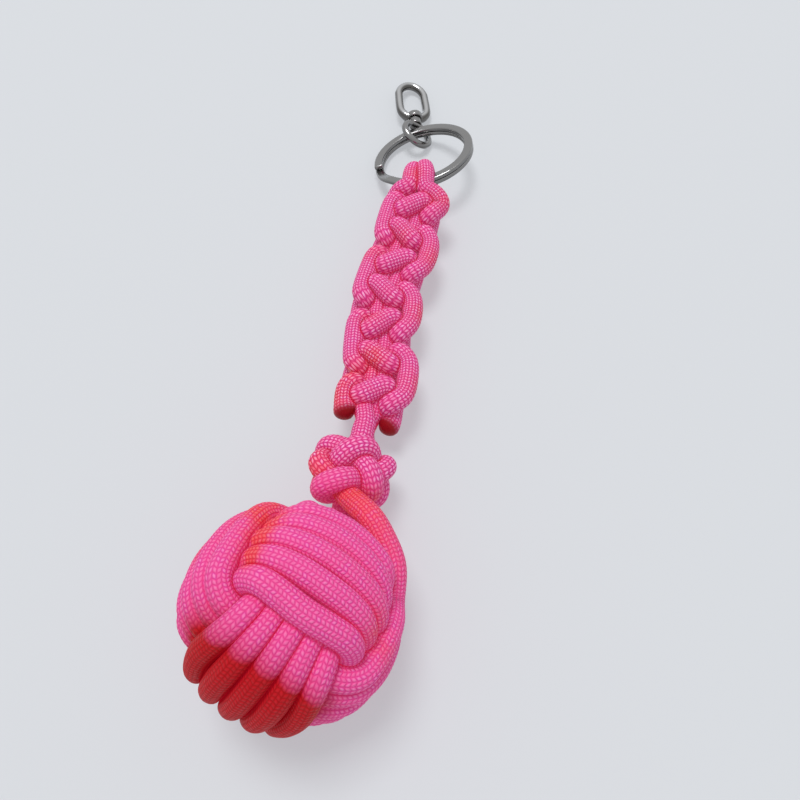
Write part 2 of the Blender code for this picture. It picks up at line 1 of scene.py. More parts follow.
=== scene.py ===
"""The looks of the monkey fist keyring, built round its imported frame.

The whole knot is one braided cord. Its middle line is followed from the melted lobe at the bar's end,
over the ring, through the bar, the neck and the button knot, round the steel ball and back the same
way to the other melted tip. A fine tube is wrapped on that line, pressed flat where it meets another
turn of itself, and cut into pieces where it passes from one body of the frame to the next.

Routes are worked out in millimetres, in the frame's axes, and turned into metres for the meshes.
"""

import json
import logging
import math
from dataclasses import dataclass, field
from enum import Enum
from typing import Any, Callable, Sequence

import bpy
import numpy as np
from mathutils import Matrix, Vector

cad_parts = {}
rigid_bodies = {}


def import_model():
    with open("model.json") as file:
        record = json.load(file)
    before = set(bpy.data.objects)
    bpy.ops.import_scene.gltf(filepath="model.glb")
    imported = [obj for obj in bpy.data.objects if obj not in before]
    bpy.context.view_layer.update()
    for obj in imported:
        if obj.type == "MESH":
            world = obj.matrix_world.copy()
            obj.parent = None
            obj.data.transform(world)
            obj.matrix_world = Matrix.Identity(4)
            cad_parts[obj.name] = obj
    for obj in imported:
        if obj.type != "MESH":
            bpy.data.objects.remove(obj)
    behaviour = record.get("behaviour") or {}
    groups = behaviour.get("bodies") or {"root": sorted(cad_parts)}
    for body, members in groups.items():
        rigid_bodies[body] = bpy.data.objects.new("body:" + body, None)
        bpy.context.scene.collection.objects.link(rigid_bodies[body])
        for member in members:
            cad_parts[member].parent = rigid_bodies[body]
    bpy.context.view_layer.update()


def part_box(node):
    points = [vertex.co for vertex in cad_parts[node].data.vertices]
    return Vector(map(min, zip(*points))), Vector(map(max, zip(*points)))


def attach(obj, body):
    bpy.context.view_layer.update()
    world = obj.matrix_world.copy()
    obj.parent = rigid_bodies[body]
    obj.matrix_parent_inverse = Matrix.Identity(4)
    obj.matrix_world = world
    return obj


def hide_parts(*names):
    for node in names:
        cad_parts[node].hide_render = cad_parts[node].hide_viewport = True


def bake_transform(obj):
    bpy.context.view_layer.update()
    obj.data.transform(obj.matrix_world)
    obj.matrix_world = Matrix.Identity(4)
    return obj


logging.basicConfig(level=logging.INFO, format="%(levelname)s %(message)s")
LOG = logging.getLogger("keyring")

MM = 0.001
Array = np.ndarray
Colour = tuple[float, float, float]
BLACK = (0.0, 0.0, 0.0)


# Shader sockets and node graphs

def operator(operation: str, turned: bool = False) -> Callable[["Wire", Any], "Wire"]:
    """An operator of Wire that adds a Math node.

    Args:
        operation: the Math node's operation.
        turned: the other value stands on the left.

    Returns:
        The operator's method.
    """

    def method(wire: "Wire", other: "Wire | float") -> "Wire":
        """This value and the other, put through the node."""
        return wire.graph.math(operation, *((other, wire) if turned else (wire, other)))

    return method


class Wire:
    """A shader value that can be written in a Python expression, each operator adding a Math node."""

    __add__, __radd__ = operator("ADD"), operator("ADD", turned=True)
    __sub__, __rsub__ = operator("SUBTRACT"), operator("SUBTRACT", turned=True)
    __mul__, __rmul__ = operator("MULTIPLY"), operator("MULTIPLY", turned=True)

    def __init__(self, graph: "Graph", socket: bpy.types.NodeSocket) -> None:
        """Keeps the socket and the graph that it belongs to."""
        self.graph = graph
        self.socket = socket

    def clamped(self) -> "Wire":
        """This value kept between 0 and 1."""
        return self.graph.node("ShaderNodeClamp", {}, {"Value": self})["Result"]


class Graph:
    """One material's node tree, with its Principled shader."""

    def __init__(self, name: str) -> None:
        """Makes an empty material whose Principled shader is the surface.

        Args:
            name: the material's name.
        """
        self.material = bpy.data.materials.new(name)
        self.material.use_nodes = True
        self.tree = self.material.node_tree
        self.shader = self.tree.nodes["Principled BSDF"]

    def node(self, kind: str, settings: dict[str, Any], inputs: dict[str | int, Any]) -> "Outputs":
        """Adds a node.

        Args:
            kind: the node's type.
            settings: attributes set before its sockets.
            inputs: values or wires of its input sockets, by name or place.

        Returns:
            Its output sockets as wires.
        """
        made = self.tree.nodes.new(kind)
        for name, value in settings.items():
            setattr(made, name, value)
        for key, value in inputs.items():
            self.feed(made.inputs[key], value)
        return Outputs(self, made)

    def feed(self, socket: bpy.types.NodeSocket, value: Any) -> None:
        """Links a wire to a socket, or sets the socket's own value.

        Args:
            socket: the input socket.
            value: a wire, a number, a vector or a colour of three parts.
        """
        if isinstance(value, Wire):
            self.tree.links.new(value.socket, socket)
        elif socket.type == "RGBA":
            socket.default_value = (*value, 1.0)
        else:
            socket.default_value = value

    def math(self, operation: str, *values: "Wire | float") -> Wire:
        """A Math node on up to three values."""
        return self.node("ShaderNodeMath", {"operation": operation}, dict(enumerate(values)))["Value"]

    def blend(self, share: "Wire | float", first: Any, second: Any) -> Wire:
        """Mixes two colours.

        Args:
            share: how much of the second.
            first: a colour or a wire.
            second: a colour or a wire.

        Returns:
            The mixed colour.
        """
        made = self.tree.nodes.new("ShaderNodeMix")
        made.data_type = "RGBA"
        for place, value in ((0, share), (6, first), (7, second)):
            self.feed(made.inputs[place], value)
        return Wire(self, made.outputs[2])

    def noise(self, place: Wire, scale: float, detail: float, rough: float = 0.55) -> Wire:
        """Smooth noise from 0 to 1 at a place."""
        return self.node("ShaderNodeTexNoise", {}, {"Vector": place, "Scale": scale, "Detail": detail,
                                                    "Roughness": rough})["Fac"]

    def here(self) -> Wire:
        """The place on the piece in Object coordinates, in metres."""
        return self.node("ShaderNodeTexCoord", {}, {})["Object"]

    def attribute(self, title: str) -> Wire:
        """A named value that the mesh carries at its points."""
        return self.node("ShaderNodeAttribute", {"attribute_name": title}, {})["Fac"]

    def bump(self, height: Wire, distance: float, strength: float) -> Wire:
        """A normal tilted by a height from 0 to 1 that stands for a distance in metres."""
        return self.node("ShaderNodeBump", {}, {"Height": height, "Distance": distance,
                                                "Strength": strength})["Normal"]

    def surface(self, **inputs: Any) -> bpy.types.Material:
        """Feeds the Principled shader's sockets, with _ for a blank in their names.

        Returns:
            The finished material.
        """
        for name, value in inputs.items():
            self.feed(self.shader.inputs[name.replace("_", " ")], value)
        return self.material


class Outputs:
    """A node's outputs, read by name as wires."""

    def __init__(self, graph: Graph, node: bpy.types.Node) -> None:
        """Keeps the node."""
        self.graph = graph
        self.node = node

    def __getitem__(self, name: str) -> Wire:
        """The output of that name."""
        return Wire(self.graph, self.node.outputs[name])


# Finishes

@dataclass(frozen=True)
class BraidedNylon:
    """A braided cord: columns of short slanting yarns whose neighbours slant the other way.

    The dye runs from pink to coral and deep red, each as (painted shade between the yarns, yarn, painted
    highlight on the yarn's crown); the deep red is partly red dye and partly painted shade. Violet flecks
    single yarns, painted shade fills the pressed places, a painted emission stands in for light through the
    nylon, and the painted gap shade and painted crown sheen are stronger on the crisp stretches.
    """

    columns: int = 20
    slant: float = 0.45
    # Each dye is (painted shade between the yarns, yarn, painted highlight on the yarn's crown); the deep red
    # is also partly painted shade.
    pink: tuple = ((0.740, 0.050, 0.250), (0.870, 0.105, 0.360), (0.960, 0.240, 0.510))
    coral: tuple = ((0.720, 0.030, 0.055), (0.880, 0.075, 0.100), (0.960, 0.210, 0.220))
    red: tuple = ((0.340, 0.002, 0.005), (0.470, 0.004, 0.010), (0.520, 0.010, 0.018))
    violet: Colour = (0.700, 0.060, 0.420)
    # Painted shade for the creases where the cord presses on another turn.
    painted_crease_shade: Colour = (0.640, 0.006, 0.070)
    melted: Colour = (0.300, 0.008, 0.014)
    # Painted shade between the yarns and painted sheen on their crowns, used more on the crisp stretches.
    shade: Colour = (0.420, 0.006, 0.090)
    sheen: Colour = (1.000, 0.560, 0.780)
    patch_scale: float = 95.0
    fibre_turns: float = 34.0
    specular: float = 0.14
    yarn_height: float = 0.00016

    def grain(self, around: Array, along: Array) -> Array:
        """Height of the yarns, from 0 in the gaps to 1: a rounded bump in each column and pitch.

        The slant shifts a column's bumps in proportion to the place across it, one way in even columns
        and the other way in odd ones.

        Args:
            around: share of the way round the cord, 0 to 1.
            along: place along the cord, in pitches.

        Returns:
            The height at each place.
        """
        column = np.floor(around * self.columns)
        across = around * self.columns - column - 0.5
        way = 1.0 - 2.0 * np.mod(column, 2.0)
        step = np.mod(along + way * across * self.slant, 1.0) - 0.5
        return (1.0 - (2.0 * across) ** 2) * (1.0 - (2.0 * step) ** 2)

    def material(self) -> bpy.types.Material:
        """The cord's material: yarns from the braid's own map, the rest from the mesh's named values.

        Returns:
            The material.
        """
        graph = Graph("braided_nylon")
        braid = graph.node("ShaderNodeUVMap", {"uv_map": "braid"}, {})["UV"]
        split = graph.node("ShaderNodeSeparateXYZ", {}, {0: braid})
        turns = split["X"] * float(self.columns)
        column = graph.math("FLOOR", turns)
        across = turns - column - 0.5
        way = 1.0 - 2.0 * graph.math("FLOORED_MODULO", column, 2.0)
        place = split["Y"] + way * across * self.slant
        number = graph.math("FLOOR", place)
        step = place - number - 0.5
        yarn = ((1.0 - 4.0 * across * across) * (1.0 - 4.0 * step * step)).clamped()
        key = graph.node("ShaderNodeCombineXYZ", {}, {"X": column, "Y": number})["Vector"]
        chance = graph.node("ShaderNodeTexWhiteNoise", {"noise_dimensions": "2D"}, {"Vector": key})["Value"]
        fibres = graph.math("SINE", (across * way * 0.6 + step) * self.fibre_turns + chance * 6.0)
        coral, red, melt, pressed, crisp = (graph.attribute(title)
                                            for title in ("coral", "red", "melt", "pressed", "crisp"))
        patches = graph.noise(graph.here(), self.patch_scale, 2.0)
        tint = (coral + (patches - 0.5) * 0.5).clamped()
        # low carries the painted shade between the yarns, high the painted highlight on their crowns; both go
        # toward the deep red, part dye and part painted shade.
        low, body, high = (graph.blend(red, graph.blend(tint, pink, orange), deep)
                           for pink, orange, deep in zip(self.pink, self.coral, self.red))
        # On the crisp stretches the painted gap shade deepens and the painted crown sheen brightens.
        low = graph.blend(crisp * 0.5, low, self.shade)
        high = graph.blend(crisp * 0.6, high, self.sheen)
        fleck = graph.blend((chance - 0.66).clamped() * (1.0 - red) * 1.6, body, self.violet)
        # Gaps get the painted shade, yarns their dye and violet flecks, crowns the painted highlight.
        colour = graph.blend((yarn * 1.9).clamped(), low, fleck)
        colour = graph.blend(((yarn - 0.50) * 2.4).clamped() * (0.35 + 0.65 * chance), colour, high)
        # Painted shade in the creases where the cord is pressed against another turn, less on the deep red.
        colour = graph.blend(pressed * (1.0 - 0.6 * red) * 0.85, colour, self.painted_crease_shade)
        colour = graph.blend(melt, colour, self.melted)
        # Painted emission, stronger where pressed, stands in for light passing through the nylon; the cord is
        # no lamp.
        painted_glow = graph.blend((0.10 + 0.25 * pressed) * (1.0 - melt), BLACK, colour)
        height = yarn + 0.10 * fibres * yarn * (1.0 - melt)
        rough = 0.52 - 0.10 * yarn + 0.12 * chance - 0.22 * melt
        shown = height * (1.0 - 0.8 * melt) * (1.0 - 0.6 * red)
        return graph.surface(Base_Color=colour, Roughness=rough.clamped(), Specular_IOR_Level=self.specular,
                             Emission_Color=painted_glow, Emission_Strength=1.0,
                             Normal=graph.bump(shown, self.yarn_height, 0.9))


@dataclass(frozen=True)
class PlatedSteel:
    """Bright plating with fine scratches, dull worn places and a painted reflection of a bright room."""

    name: str = "bright_plating"
    # The first colour is the painted reflection of a bright room, dark the painted reflection of its unlit
    # parts.
    colour: Colour = (0.82, 0.83, 0.85)
    dark: Colour = (0.085, 0.078, 0.070)
    worn: Colour = (0.30, 0.29, 0.28)
    roughness: float = 0.13
    scratch_scale: float = 900.0
    worn_scale: float = 260.0
    scratch_depth: float = 0.00001

    def material(self) -> bpy.types.Material:
        """The plating's material on Object coordinates, with the painted reflection from the mesh's values.

        Returns:
            The material.
        """
        graph = Graph(self.name)
        here = graph.here()
        stretched = graph.node("ShaderNodeMapping", {}, {"Vector": here, "Rotation": (0.3, 0.2, 0.9),
                                                         "Scale": (1.0, 9.0, 1.0)})["Vector"]
        scratches = graph.noise(stretched, self.scratch_scale, 5.0, 0.7)
        cloud = graph.noise(here, self.worn_scale, 4.0)
        dull = ((cloud - 0.52) * 3.0).clamped()
        rough = self.roughness + 0.16 * dull + 0.10 * scratches
        # Painted reflection: the mesh's values blend from the painted dark reflection to the bright colour.
        painted_reflection = graph.blend(graph.attribute("painted_reflection"), self.dark, self.colour)
        return graph.surface(Base_Color=graph.blend(dull * 0.35, painted_reflection, self.worn), Metallic=1.0,
                             Roughness=rough.clamped(),
                             Normal=graph.bump(scratches, self.scratch_depth, 0.25))


@dataclass(frozen=True)
class StudioPaper:
    """The plain pale sheet that the keyring lies on."""

    colour: Colour = (0.680, 0.703, 0.737)
    mottle: Colour = (0.640, 0.660, 0.700)
    own_light: float = 0.50

    def material(self) -> bpy.types.Material:
        """A matt pale grey with the faintest mottling, part of it lit from within like a light table.

        Returns:
            The material.
        """
        graph = Graph("studio_paper")
        cloud = graph.noise(graph.here(), 6.0, 2.0)
        colour = graph.blend(cloud * 0.03, self.colour, self.mottle)
        return graph.surface(Base_Color=graph.blend(self.own_light, colour, BLACK), Roughness=0.9,
                             Specular_IOR_Level=0.1, Emission_Strength=1.0,
                             Emission_Color=graph.blend(1.0 - self.own_light, colour, BLACK))


# Curves and surfaces

def smooth_route(points: Any, spacing: float) -> Array:
    """Even points on a smooth curve (Catmull-Rom) through given ones.

    Each stretch b-c is b + t/2 ((c - a) + t ((2a - 5b + 4c - d) + t (3b - a - 3c + d))).

    Args:
        points: the chosen points, one a row.
        spacing: distance between the even points.

    Returns:
        The curve's points.
    """
    points = np.asarray(points, float)
    ends = np.vstack([2 * points[0] - points[1], points, 2 * points[-1] - points[-2]])
    a, b, c, d = (ends[k:len(ends) - 3 + k, None] for k in range(4))
    t = np.linspace(0.0, 1.0, 20, endpoint=False)[None, :, None]
    fine = b + 0.5 * t * ((c - a) + t * ((2 * a - 5 * b + 4 * c - d) + t * (3 * b - a - 3 * c + d)))
    return even_route(np.vstack([fine.reshape(-1, 3), points[-1]]), spacing)


def even_route(points: Array, spacing: float) -> Array:
    """The same line with evenly spaced points.

    Args:
        points: the line.
        spacing: distance between the new points.

    Returns:
        The line's new points.
    """
    travelled = lengths_along(points)
    places = np.linspace(0.0, travelled[-1], max(2, round(travelled[-1] / spacing) + 1))
    return np.stack([np.interp(places, travelled, points[:, k]) for k in range(3)], axis=1)


def lengths_along(points: Array) -> Array:
    """Distance from the first point to each, along the line."""
    return np.concatenate([[0.0], np.cumsum(np.linalg.norm(np.diff(points, axis=0), axis=1))])


def bell(value: Array) -> Array:
    """1 at nought, falling off softly on both sides."""
    return np.exp(-value ** 2)


def eased(share: Array) -> Array:
    """A share from 0 to 1 that starts and stops softly."""
    return share * share * (3 - 2 * share)


def angles_round(steps: int) -> Array:
    """Evenly spaced angles all the way round, in radians."""
    return np.arange(steps) / steps * 2 * math.pi


def in_frame(centre: Any, axes: Sequence[Array], *shares: Array) -> Array:
    """Points given along some axes from a centre.

    Args:
        centre: the point that they are measured from.
        axes: the unit directions.
        shares: one grid of distances for each direction.

    Returns:
        The grid of points.
    """
    points = np.asarray(centre)
    for axis, share in zip(axes, shares):
        points = points + share[..., None] * axis
    return points


def unit(vectors: Any) -> Array:
    """Vectors brought to length 1."""
    vectors = np.asarray(vectors, float)
    return vectors / np.maximum(np.linalg.norm(vectors, axis=-1, keepdims=True), 1e-12)


def soften(points: Array, rounds: int) -> Array:
    """Rounds off small corners: each inner point moves half way to the middle of its neighbours.

    Args:
        points: the line.
        rounds: how often it is done.

    Returns:
        The softened line.
    """
    points = points.copy()
    for _ in range(rounds):
        points[1:-1] += 0.5 * (0.5 * (points[:-2] + points[2:]) - points[1:-1])
    return points


def carried_frames(points: Array) -> tuple[Array, Array, Array]:
    """Directions along a line and two square to it that never spin: each frame is the last one, turned
    by the least turn that brings it square to the line again.

    Args:
        points: the line, evenly spaced.

    Returns:
        Along, first and second directions at each point.
    """
    along = unit(np.gradient(points, axis=0))
    first = np.empty_like(points)
    start = np.cross(along[0], (0.0, 0.0, 1.0))
    first[0] = unit(start if np.linalg.norm(start) > 0.1 else np.cross(along[0], (1.0, 0.0, 0.0)))
    for k in range(1, len(points)):
        side = first[k - 1] - along[k] * (first[k - 1] @ along[k])
        first[k] = side / math.sqrt(side @ side)
    return along, first, np.cross(along, first)


def grid_mesh(name: str, grid: Array, wrap_rows: bool, wrap_columns: bool,
              caps: bool = False) -> bpy.types.Mesh:
    """A mesh from a grid of points, one quad a cell.

    Args:
        name: the mesh's name.
        grid: points as rows x columns x 3, in metres.
        wrap_rows: joins the last row to the first.
        wrap_columns: joins the last column to the first.
        caps: closes the first and last row with one point each, at the row's middle.

    Returns:
        The mesh, smooth shaded.
    """
    rows, columns = grid.shape[:2]
    index = np.arange(rows * columns).reshape(rows, columns)
    if wrap_rows:
        index = np.vstack([index, index[:1]])
    if wrap_columns:
        index = np.hstack([index, index[:, :1]])
    quads = np.stack([index[:-1, :-1], index[:-1, 1:], index[1:, 1:], index[1:, :-1]], axis=-1).reshape(-1, 4)
    points = grid.reshape(-1, 3)
    starts = np.arange(len(quads)) * 4
    corners = quads.ravel()
    if caps:
        points = np.vstack([points, grid[0].mean(axis=0), grid[-1].mean(axis=0)])
        first, last = rows * columns, rows * columns + 1
        ring = np.append(np.arange(columns), 0)
        front = np.stack([np.full(columns, first), ring[1:], ring[:-1]], axis=-1)
        back = (rows - 1) * columns
        rear = np.stack([np.full(columns, last), back + ring[:-1], back + ring[1:]], axis=-1)
        corners = np.concatenate([corners, front.ravel(), rear.ravel()])
        starts = np.concatenate([starts, len(quads) * 4 + np.arange(2 * columns) * 3])
    return mesh_of(name, points.ravel(), corners, starts)


def mesh_of(name: str, places: Array, corners: Array, starts: Array) -> bpy.types.Mesh:
    """A smooth shaded mesh.

    Args:
        name: the mesh's name.
        places: x, y, z of each point in turn, in metres.
        corners: the points of each face in turn.
        starts: where each face starts among the corners.

    Returns:
        The mesh.
    """
    mesh = bpy.data.meshes.new(name)
    mesh.vertices.add(len(places) // 3)
    mesh.loops.add(len(corners))
    mesh.polygons.add(len(starts))
    mesh.vertices.foreach_set("co", places.astype(np.float32))
    mesh.loops.foreach_set("vertex_index", corners.astype(np.int32))
    mesh.polygons.foreach_set("loop_start", starts.astype(np.int32))
    mesh.update(calc_edges=True)
    mesh.shade_smooth()
    return mesh


def joined_mesh(name: str, meshes: Sequence[bpy.types.Mesh]) -> bpy.types.Mesh:
    """One mesh that holds several closed shells.

    Args:
        name: the mesh's name.
        meshes: the shells.

    Returns:
        The mesh.
    """
    shells, points, loops = [], 0, 0
    for mesh in meshes:
        place = np.empty(len(mesh.vertices) * 3, np.float32)
        corner = np.empty(len(mesh.loops), np.int32)
        start = np.empty(len(mesh.polygons), np.int32)
        mesh.vertices.foreach_get("co", place)
        mesh.loops.foreach_get("vertex_index", corner)
        mesh.polygons.foreach_get("loop_start", start)
        shells.append((place, corner + points, start + loops))
        points += len(mesh.vertices)
        loops += len(mesh.loops)
    return mesh_of(name, *(np.concatenate(part) for part in zip(*shells)))


def name_values(mesh: bpy.types.Mesh, title: str, values: Array) -> None:
    """Gives the mesh a named value at each point, for its material."""
    mesh.attributes.new(title, "FLOAT", "POINT").data.foreach_set("value", values.astype(np.float32))


# Direction of the painted reflection of a bright window, and how far it and the painted reflection of a
# bright ceiling spread on polished metal
TOWARD_WINDOW = (-0.75, 0.35, 0.55)
WINDOW_SPREAD, CEILING_SPREAD = 0.10, 0.13


def add_painted_reflection(mesh: bpy.types.Mesh) -> None:
    """Marks where polished metal gets the painted reflection of a bright room: faces that look up or to the
    upper left, and faintly the undersides.

    The rest gets the painted reflection of an unlit room.

    Args:
        mesh: the metal piece's mesh.
    """
    normals = np.empty(len(mesh.vertices) * 3)
    mesh.vertex_normals.foreach_get("vector", normals)
    normals = normals.reshape(-1, 3)
    # Painted reflections of the ceiling above, the window to the upper left and the floor beneath.
    upward = bell((1.0 - normals[:, 2]) / CEILING_SPREAD)
    window = bell((1.0 - normals @ unit(TOWARD_WINDOW)) / WINDOW_SPREAD)
    beneath = 0.35 * np.clip(-normals[:, 2], 0.0, 1.0)
    painted_reflection = np.clip(0.10 + 0.85 * upward + 0.75 * window + beneath, 0.0, 1.0)
    name_values(mesh, "painted_reflection", painted_reflection)


def add_object(name: str, data: bpy.types.ID) -> bpy.types.Object:
    """An object at the origin, linked to the scene.

    Args:
        name: the object's name.
        data: its mesh, camera or lamp.

    Returns:
        The object.
    """
    made = bpy.data.objects.new(name, data)
    bpy.context.scene.collection.objects.link(made)
    return made


def add_piece(name: str, mesh: bpy.types.Mesh, material: bpy.types.Material) -> bpy.types.Object:
    """An object at the origin with its mesh and material.

    Args:
        name: the piece's name.
        mesh: its mesh.
        material: its finish.

    Returns:
        The piece.
    """
    mesh.materials.append(material)
    piece = add_object(name, mesh)
    LOG.info("%s: %d vertices", name, len(mesh.vertices))
    return piece


# The cord

# Degrees from one chosen point of the fist's turns to the next, which is also their rows' step
POINT_ARC = 15.0


@dataclass
class MonkeyFist:
    """The ball of cord: three bands of five turns, each over one band and under the other."""

    centre: Array
    across: tuple = (-0.895, 0.33, 0.301)
    toward: tuple = (-0.154, -0.861, 0.487)
    shift_half_arc: float = 43.0
    radii: Array = field(default_factory=lambda: np.array([
        (15.9, 15.9, 15.8, 14.6, 12.4, 12.0, 11.8),
        (15.5, 15.6, 15.4, 13.9, 11.9, 12.2, 11.7),
        (13.7, 14.0, 14.5, 13.0, 9.7, 9.6, 9.0)]))
    offsets: Array = field(default_factory=lambda: np.array([
        (0.0, 0.0, 0.0, 0.0, 0.0, 0.0, 0.0),
        (4.1, 3.95, 3.65, 3.1, 3.15, 3.4, 3.7),
        (8.3, 7.9, 7.1, 6.2, 5.6, 6.35, 6.95)]))
    corners: tuple = (((8.8, -10.2, -7.9), (8.2, -10.9, -7.45)), ((-7.9, 11.8, -7.75), (-7.5, 7.25, -11.85)))
    lower_tail: tuple = ((13.1, 6.6, 1.9), (11.9, 6.0, -0.6), (12.2, 7.9, -2.1), (14.2, 9.5, -4.6),
                         (13.8, 11.8, -7.8))
    lower_lead: tuple = ((7.5, 16.8, -10.2), (3.2, 19.4, -10.0))
    upper_tail: tuple = ((14.5, 10.5, 0.1), (11.4, 15.2, 0.7), (8.7, 18.1, 0.2))
    upper_lead: tuple = ((5.4, 20.6, -2.2),)

    def axes(self) -> Array:
        """The fist's directions across L, toward B and up T, as rows.

        Returns:
            The 3 x 3 directions.
        """
        toward = unit(self.toward)
        up = unit(np.cross(self.across, toward))
        return np.array([np.cross(toward, up), toward, up])

    def read(self, level: Array, angle: Array, rows: Array) -> Array:
        """Reads the turns' rows between their steps and between neighbouring turns.

        Args:
            level: the turns' levels, 0 in the middle to 2 at the band's edges.
            angle: places round the turns, in degrees, folded to 0 on top and 90 beneath.
            rows: the values of the middle, next and outer turn, one a step.

        Returns:
            The value at each place.
        """
        folded = np.abs(np.mod(angle + 90.0, 180.0) - 90.0)
        steps = np.arange(0.0, 91.0, POINT_ARC)
        inner, middle, outer = (np.interp(folded, steps, row) for row in rows)
        level = np.minimum(np.abs(level), 2.0)
        near = inner + level * (middle - inner)
        far = middle + (level - 1.0) * (outer - middle)
        return np.where(level < 1.0, near, far)

    def band(self, axis: Array, over: Array, under: Array, span: tuple[float, float], start: float,
             way: float, shift: float) -> Array:
        """Five turns round an axis: offset x axis + reach x (cos x over + sin x under).

        The level goes from one side of the band to the other in four hidden shifts, one a turn.

        Args:
            axis: the direction that the turns go round.
            over: where the turns lie on top.
            under: where they lie beneath another band.
            span: first and last angle in degrees.
            start: the first turn's level, -2 to 2.
            way: 1 or -1, the levels' order.
            shift: angle in the middle of the first shift.

        Returns:
            The route's points in the fist's own directions.
        """
        angle = np.arange(span[0], span[1] + 1.0, POINT_ARC)
        turns = np.arange(4)[:, None]
        past = angle - shift - 360.0 * turns + self.shift_half_arc
        done = np.clip(past / (2 * self.shift_half_arc), 0.0, 1.0)
        level = start + way * eased(done).sum(axis=0)
        reach = self.read(level, angle, self.radii)[:, None]
        offset = (np.sign(level) * self.read(level, angle, self.offsets))[:, None]
        turned = np.radians(angle)[:, None]
        return offset * axis + reach * (np.cos(turned) * over + np.sin(turned) * under)

    def route(self) -> Array:
        """The winding with both tails, from the upper tail's end to the lower one's.

        Returns:
            The chosen points.
        """
        across, toward, up = np.eye(3)
        first = self.band(up, -across, toward, (-30.0, 1650.0), 2.0, -1.0, 270.0)
        second = self.band(-across, toward, -up, (165.0, 1830.0), -2.0, 1.0, 450.0)
        third = self.band(toward, up, -across, (165.0, 1830.0), 2.0, -1.0, 450.0)
        turns = np.vstack([first, self.corners[0], second, self.corners[1], third]) @ self.axes()
        route = np.vstack([self.upper_tail[::-1], turns, self.lower_tail])
        return route + self.centre

    def leads(self) -> tuple[Array, Array]:
        """The two tails' last points before the button knot, upper and lower."""
        return np.array(self.upper_lead) + self.centre, np.array(self.lower_lead) + self.centre


@dataclass
class ButtonKnot:
    """The knot between fist and neck: two alike strands, each half a turn from the other round its axis."""

    centre: tuple = (2.6, 26.6, 10.0)
    axis: tuple = (0.05, 1.0, -0.1)
    roll: float = -75.0
    size: float = 0.88
    strand: Array = field(default_factory=lambda: np.array([
        (2.9, 21.0, -4.1), (5.9, 55.0, -2.3), (7.7, 67.0, -0.7), (6.8, 79.0, 1.4), (4.1, 103.0, 3.4),
        (4.5, 149.0, 5.0), (6.2, 173.0, 5.2), (6.9, 191.0, 4.2), (6.4, 208.0, 2.3), (4.5, 241.0, 0.3),
        (5.2, 290.0, -1.9), (6.7, 317.0, -1.7), (6.6, 335.0, 0.5), (4.3, 358.0, 2.8), (4.4, 409.0, 4.7),
        (6.2, 442.0, 5.3), (6.8, 465.0, 4.8), (6.5, 480.0, 2.5), (4.1, 495.0, 0.2), (4.4, 536.0, -1.7),
        (6.4, 559.0, -3.5), (6.9, 581.0, -5.1), (5.7, 603.0, -5.5), (3.2, 627.0, -4.7), (1.7, 638.0, -2.4),
        (1.5, 618.0, 1.4), (1.5, 613.0, 5.4)]))

    def route(self, turned: float) -> Array:
        """One strand: distance x (cos a, sin a) round the axis, and a distance along it.

        Args:
            turned: 0 for one strand, 180 degrees for the other.

        Returns:
            The strand's chosen points.
        """
        axis = unit(self.axis)
        first = unit(np.cross(axis, (0.0, 0.0, 1.0)))
        second = np.cross(axis, first)
        distance, angle, along = self.strand.T[:, :, None]
        around = np.radians(turned + self.roll - angle)
        place = distance * (np.cos(around) * first + np.sin(around) * second) + along * axis
        return np.array(self.centre) + place * self.size


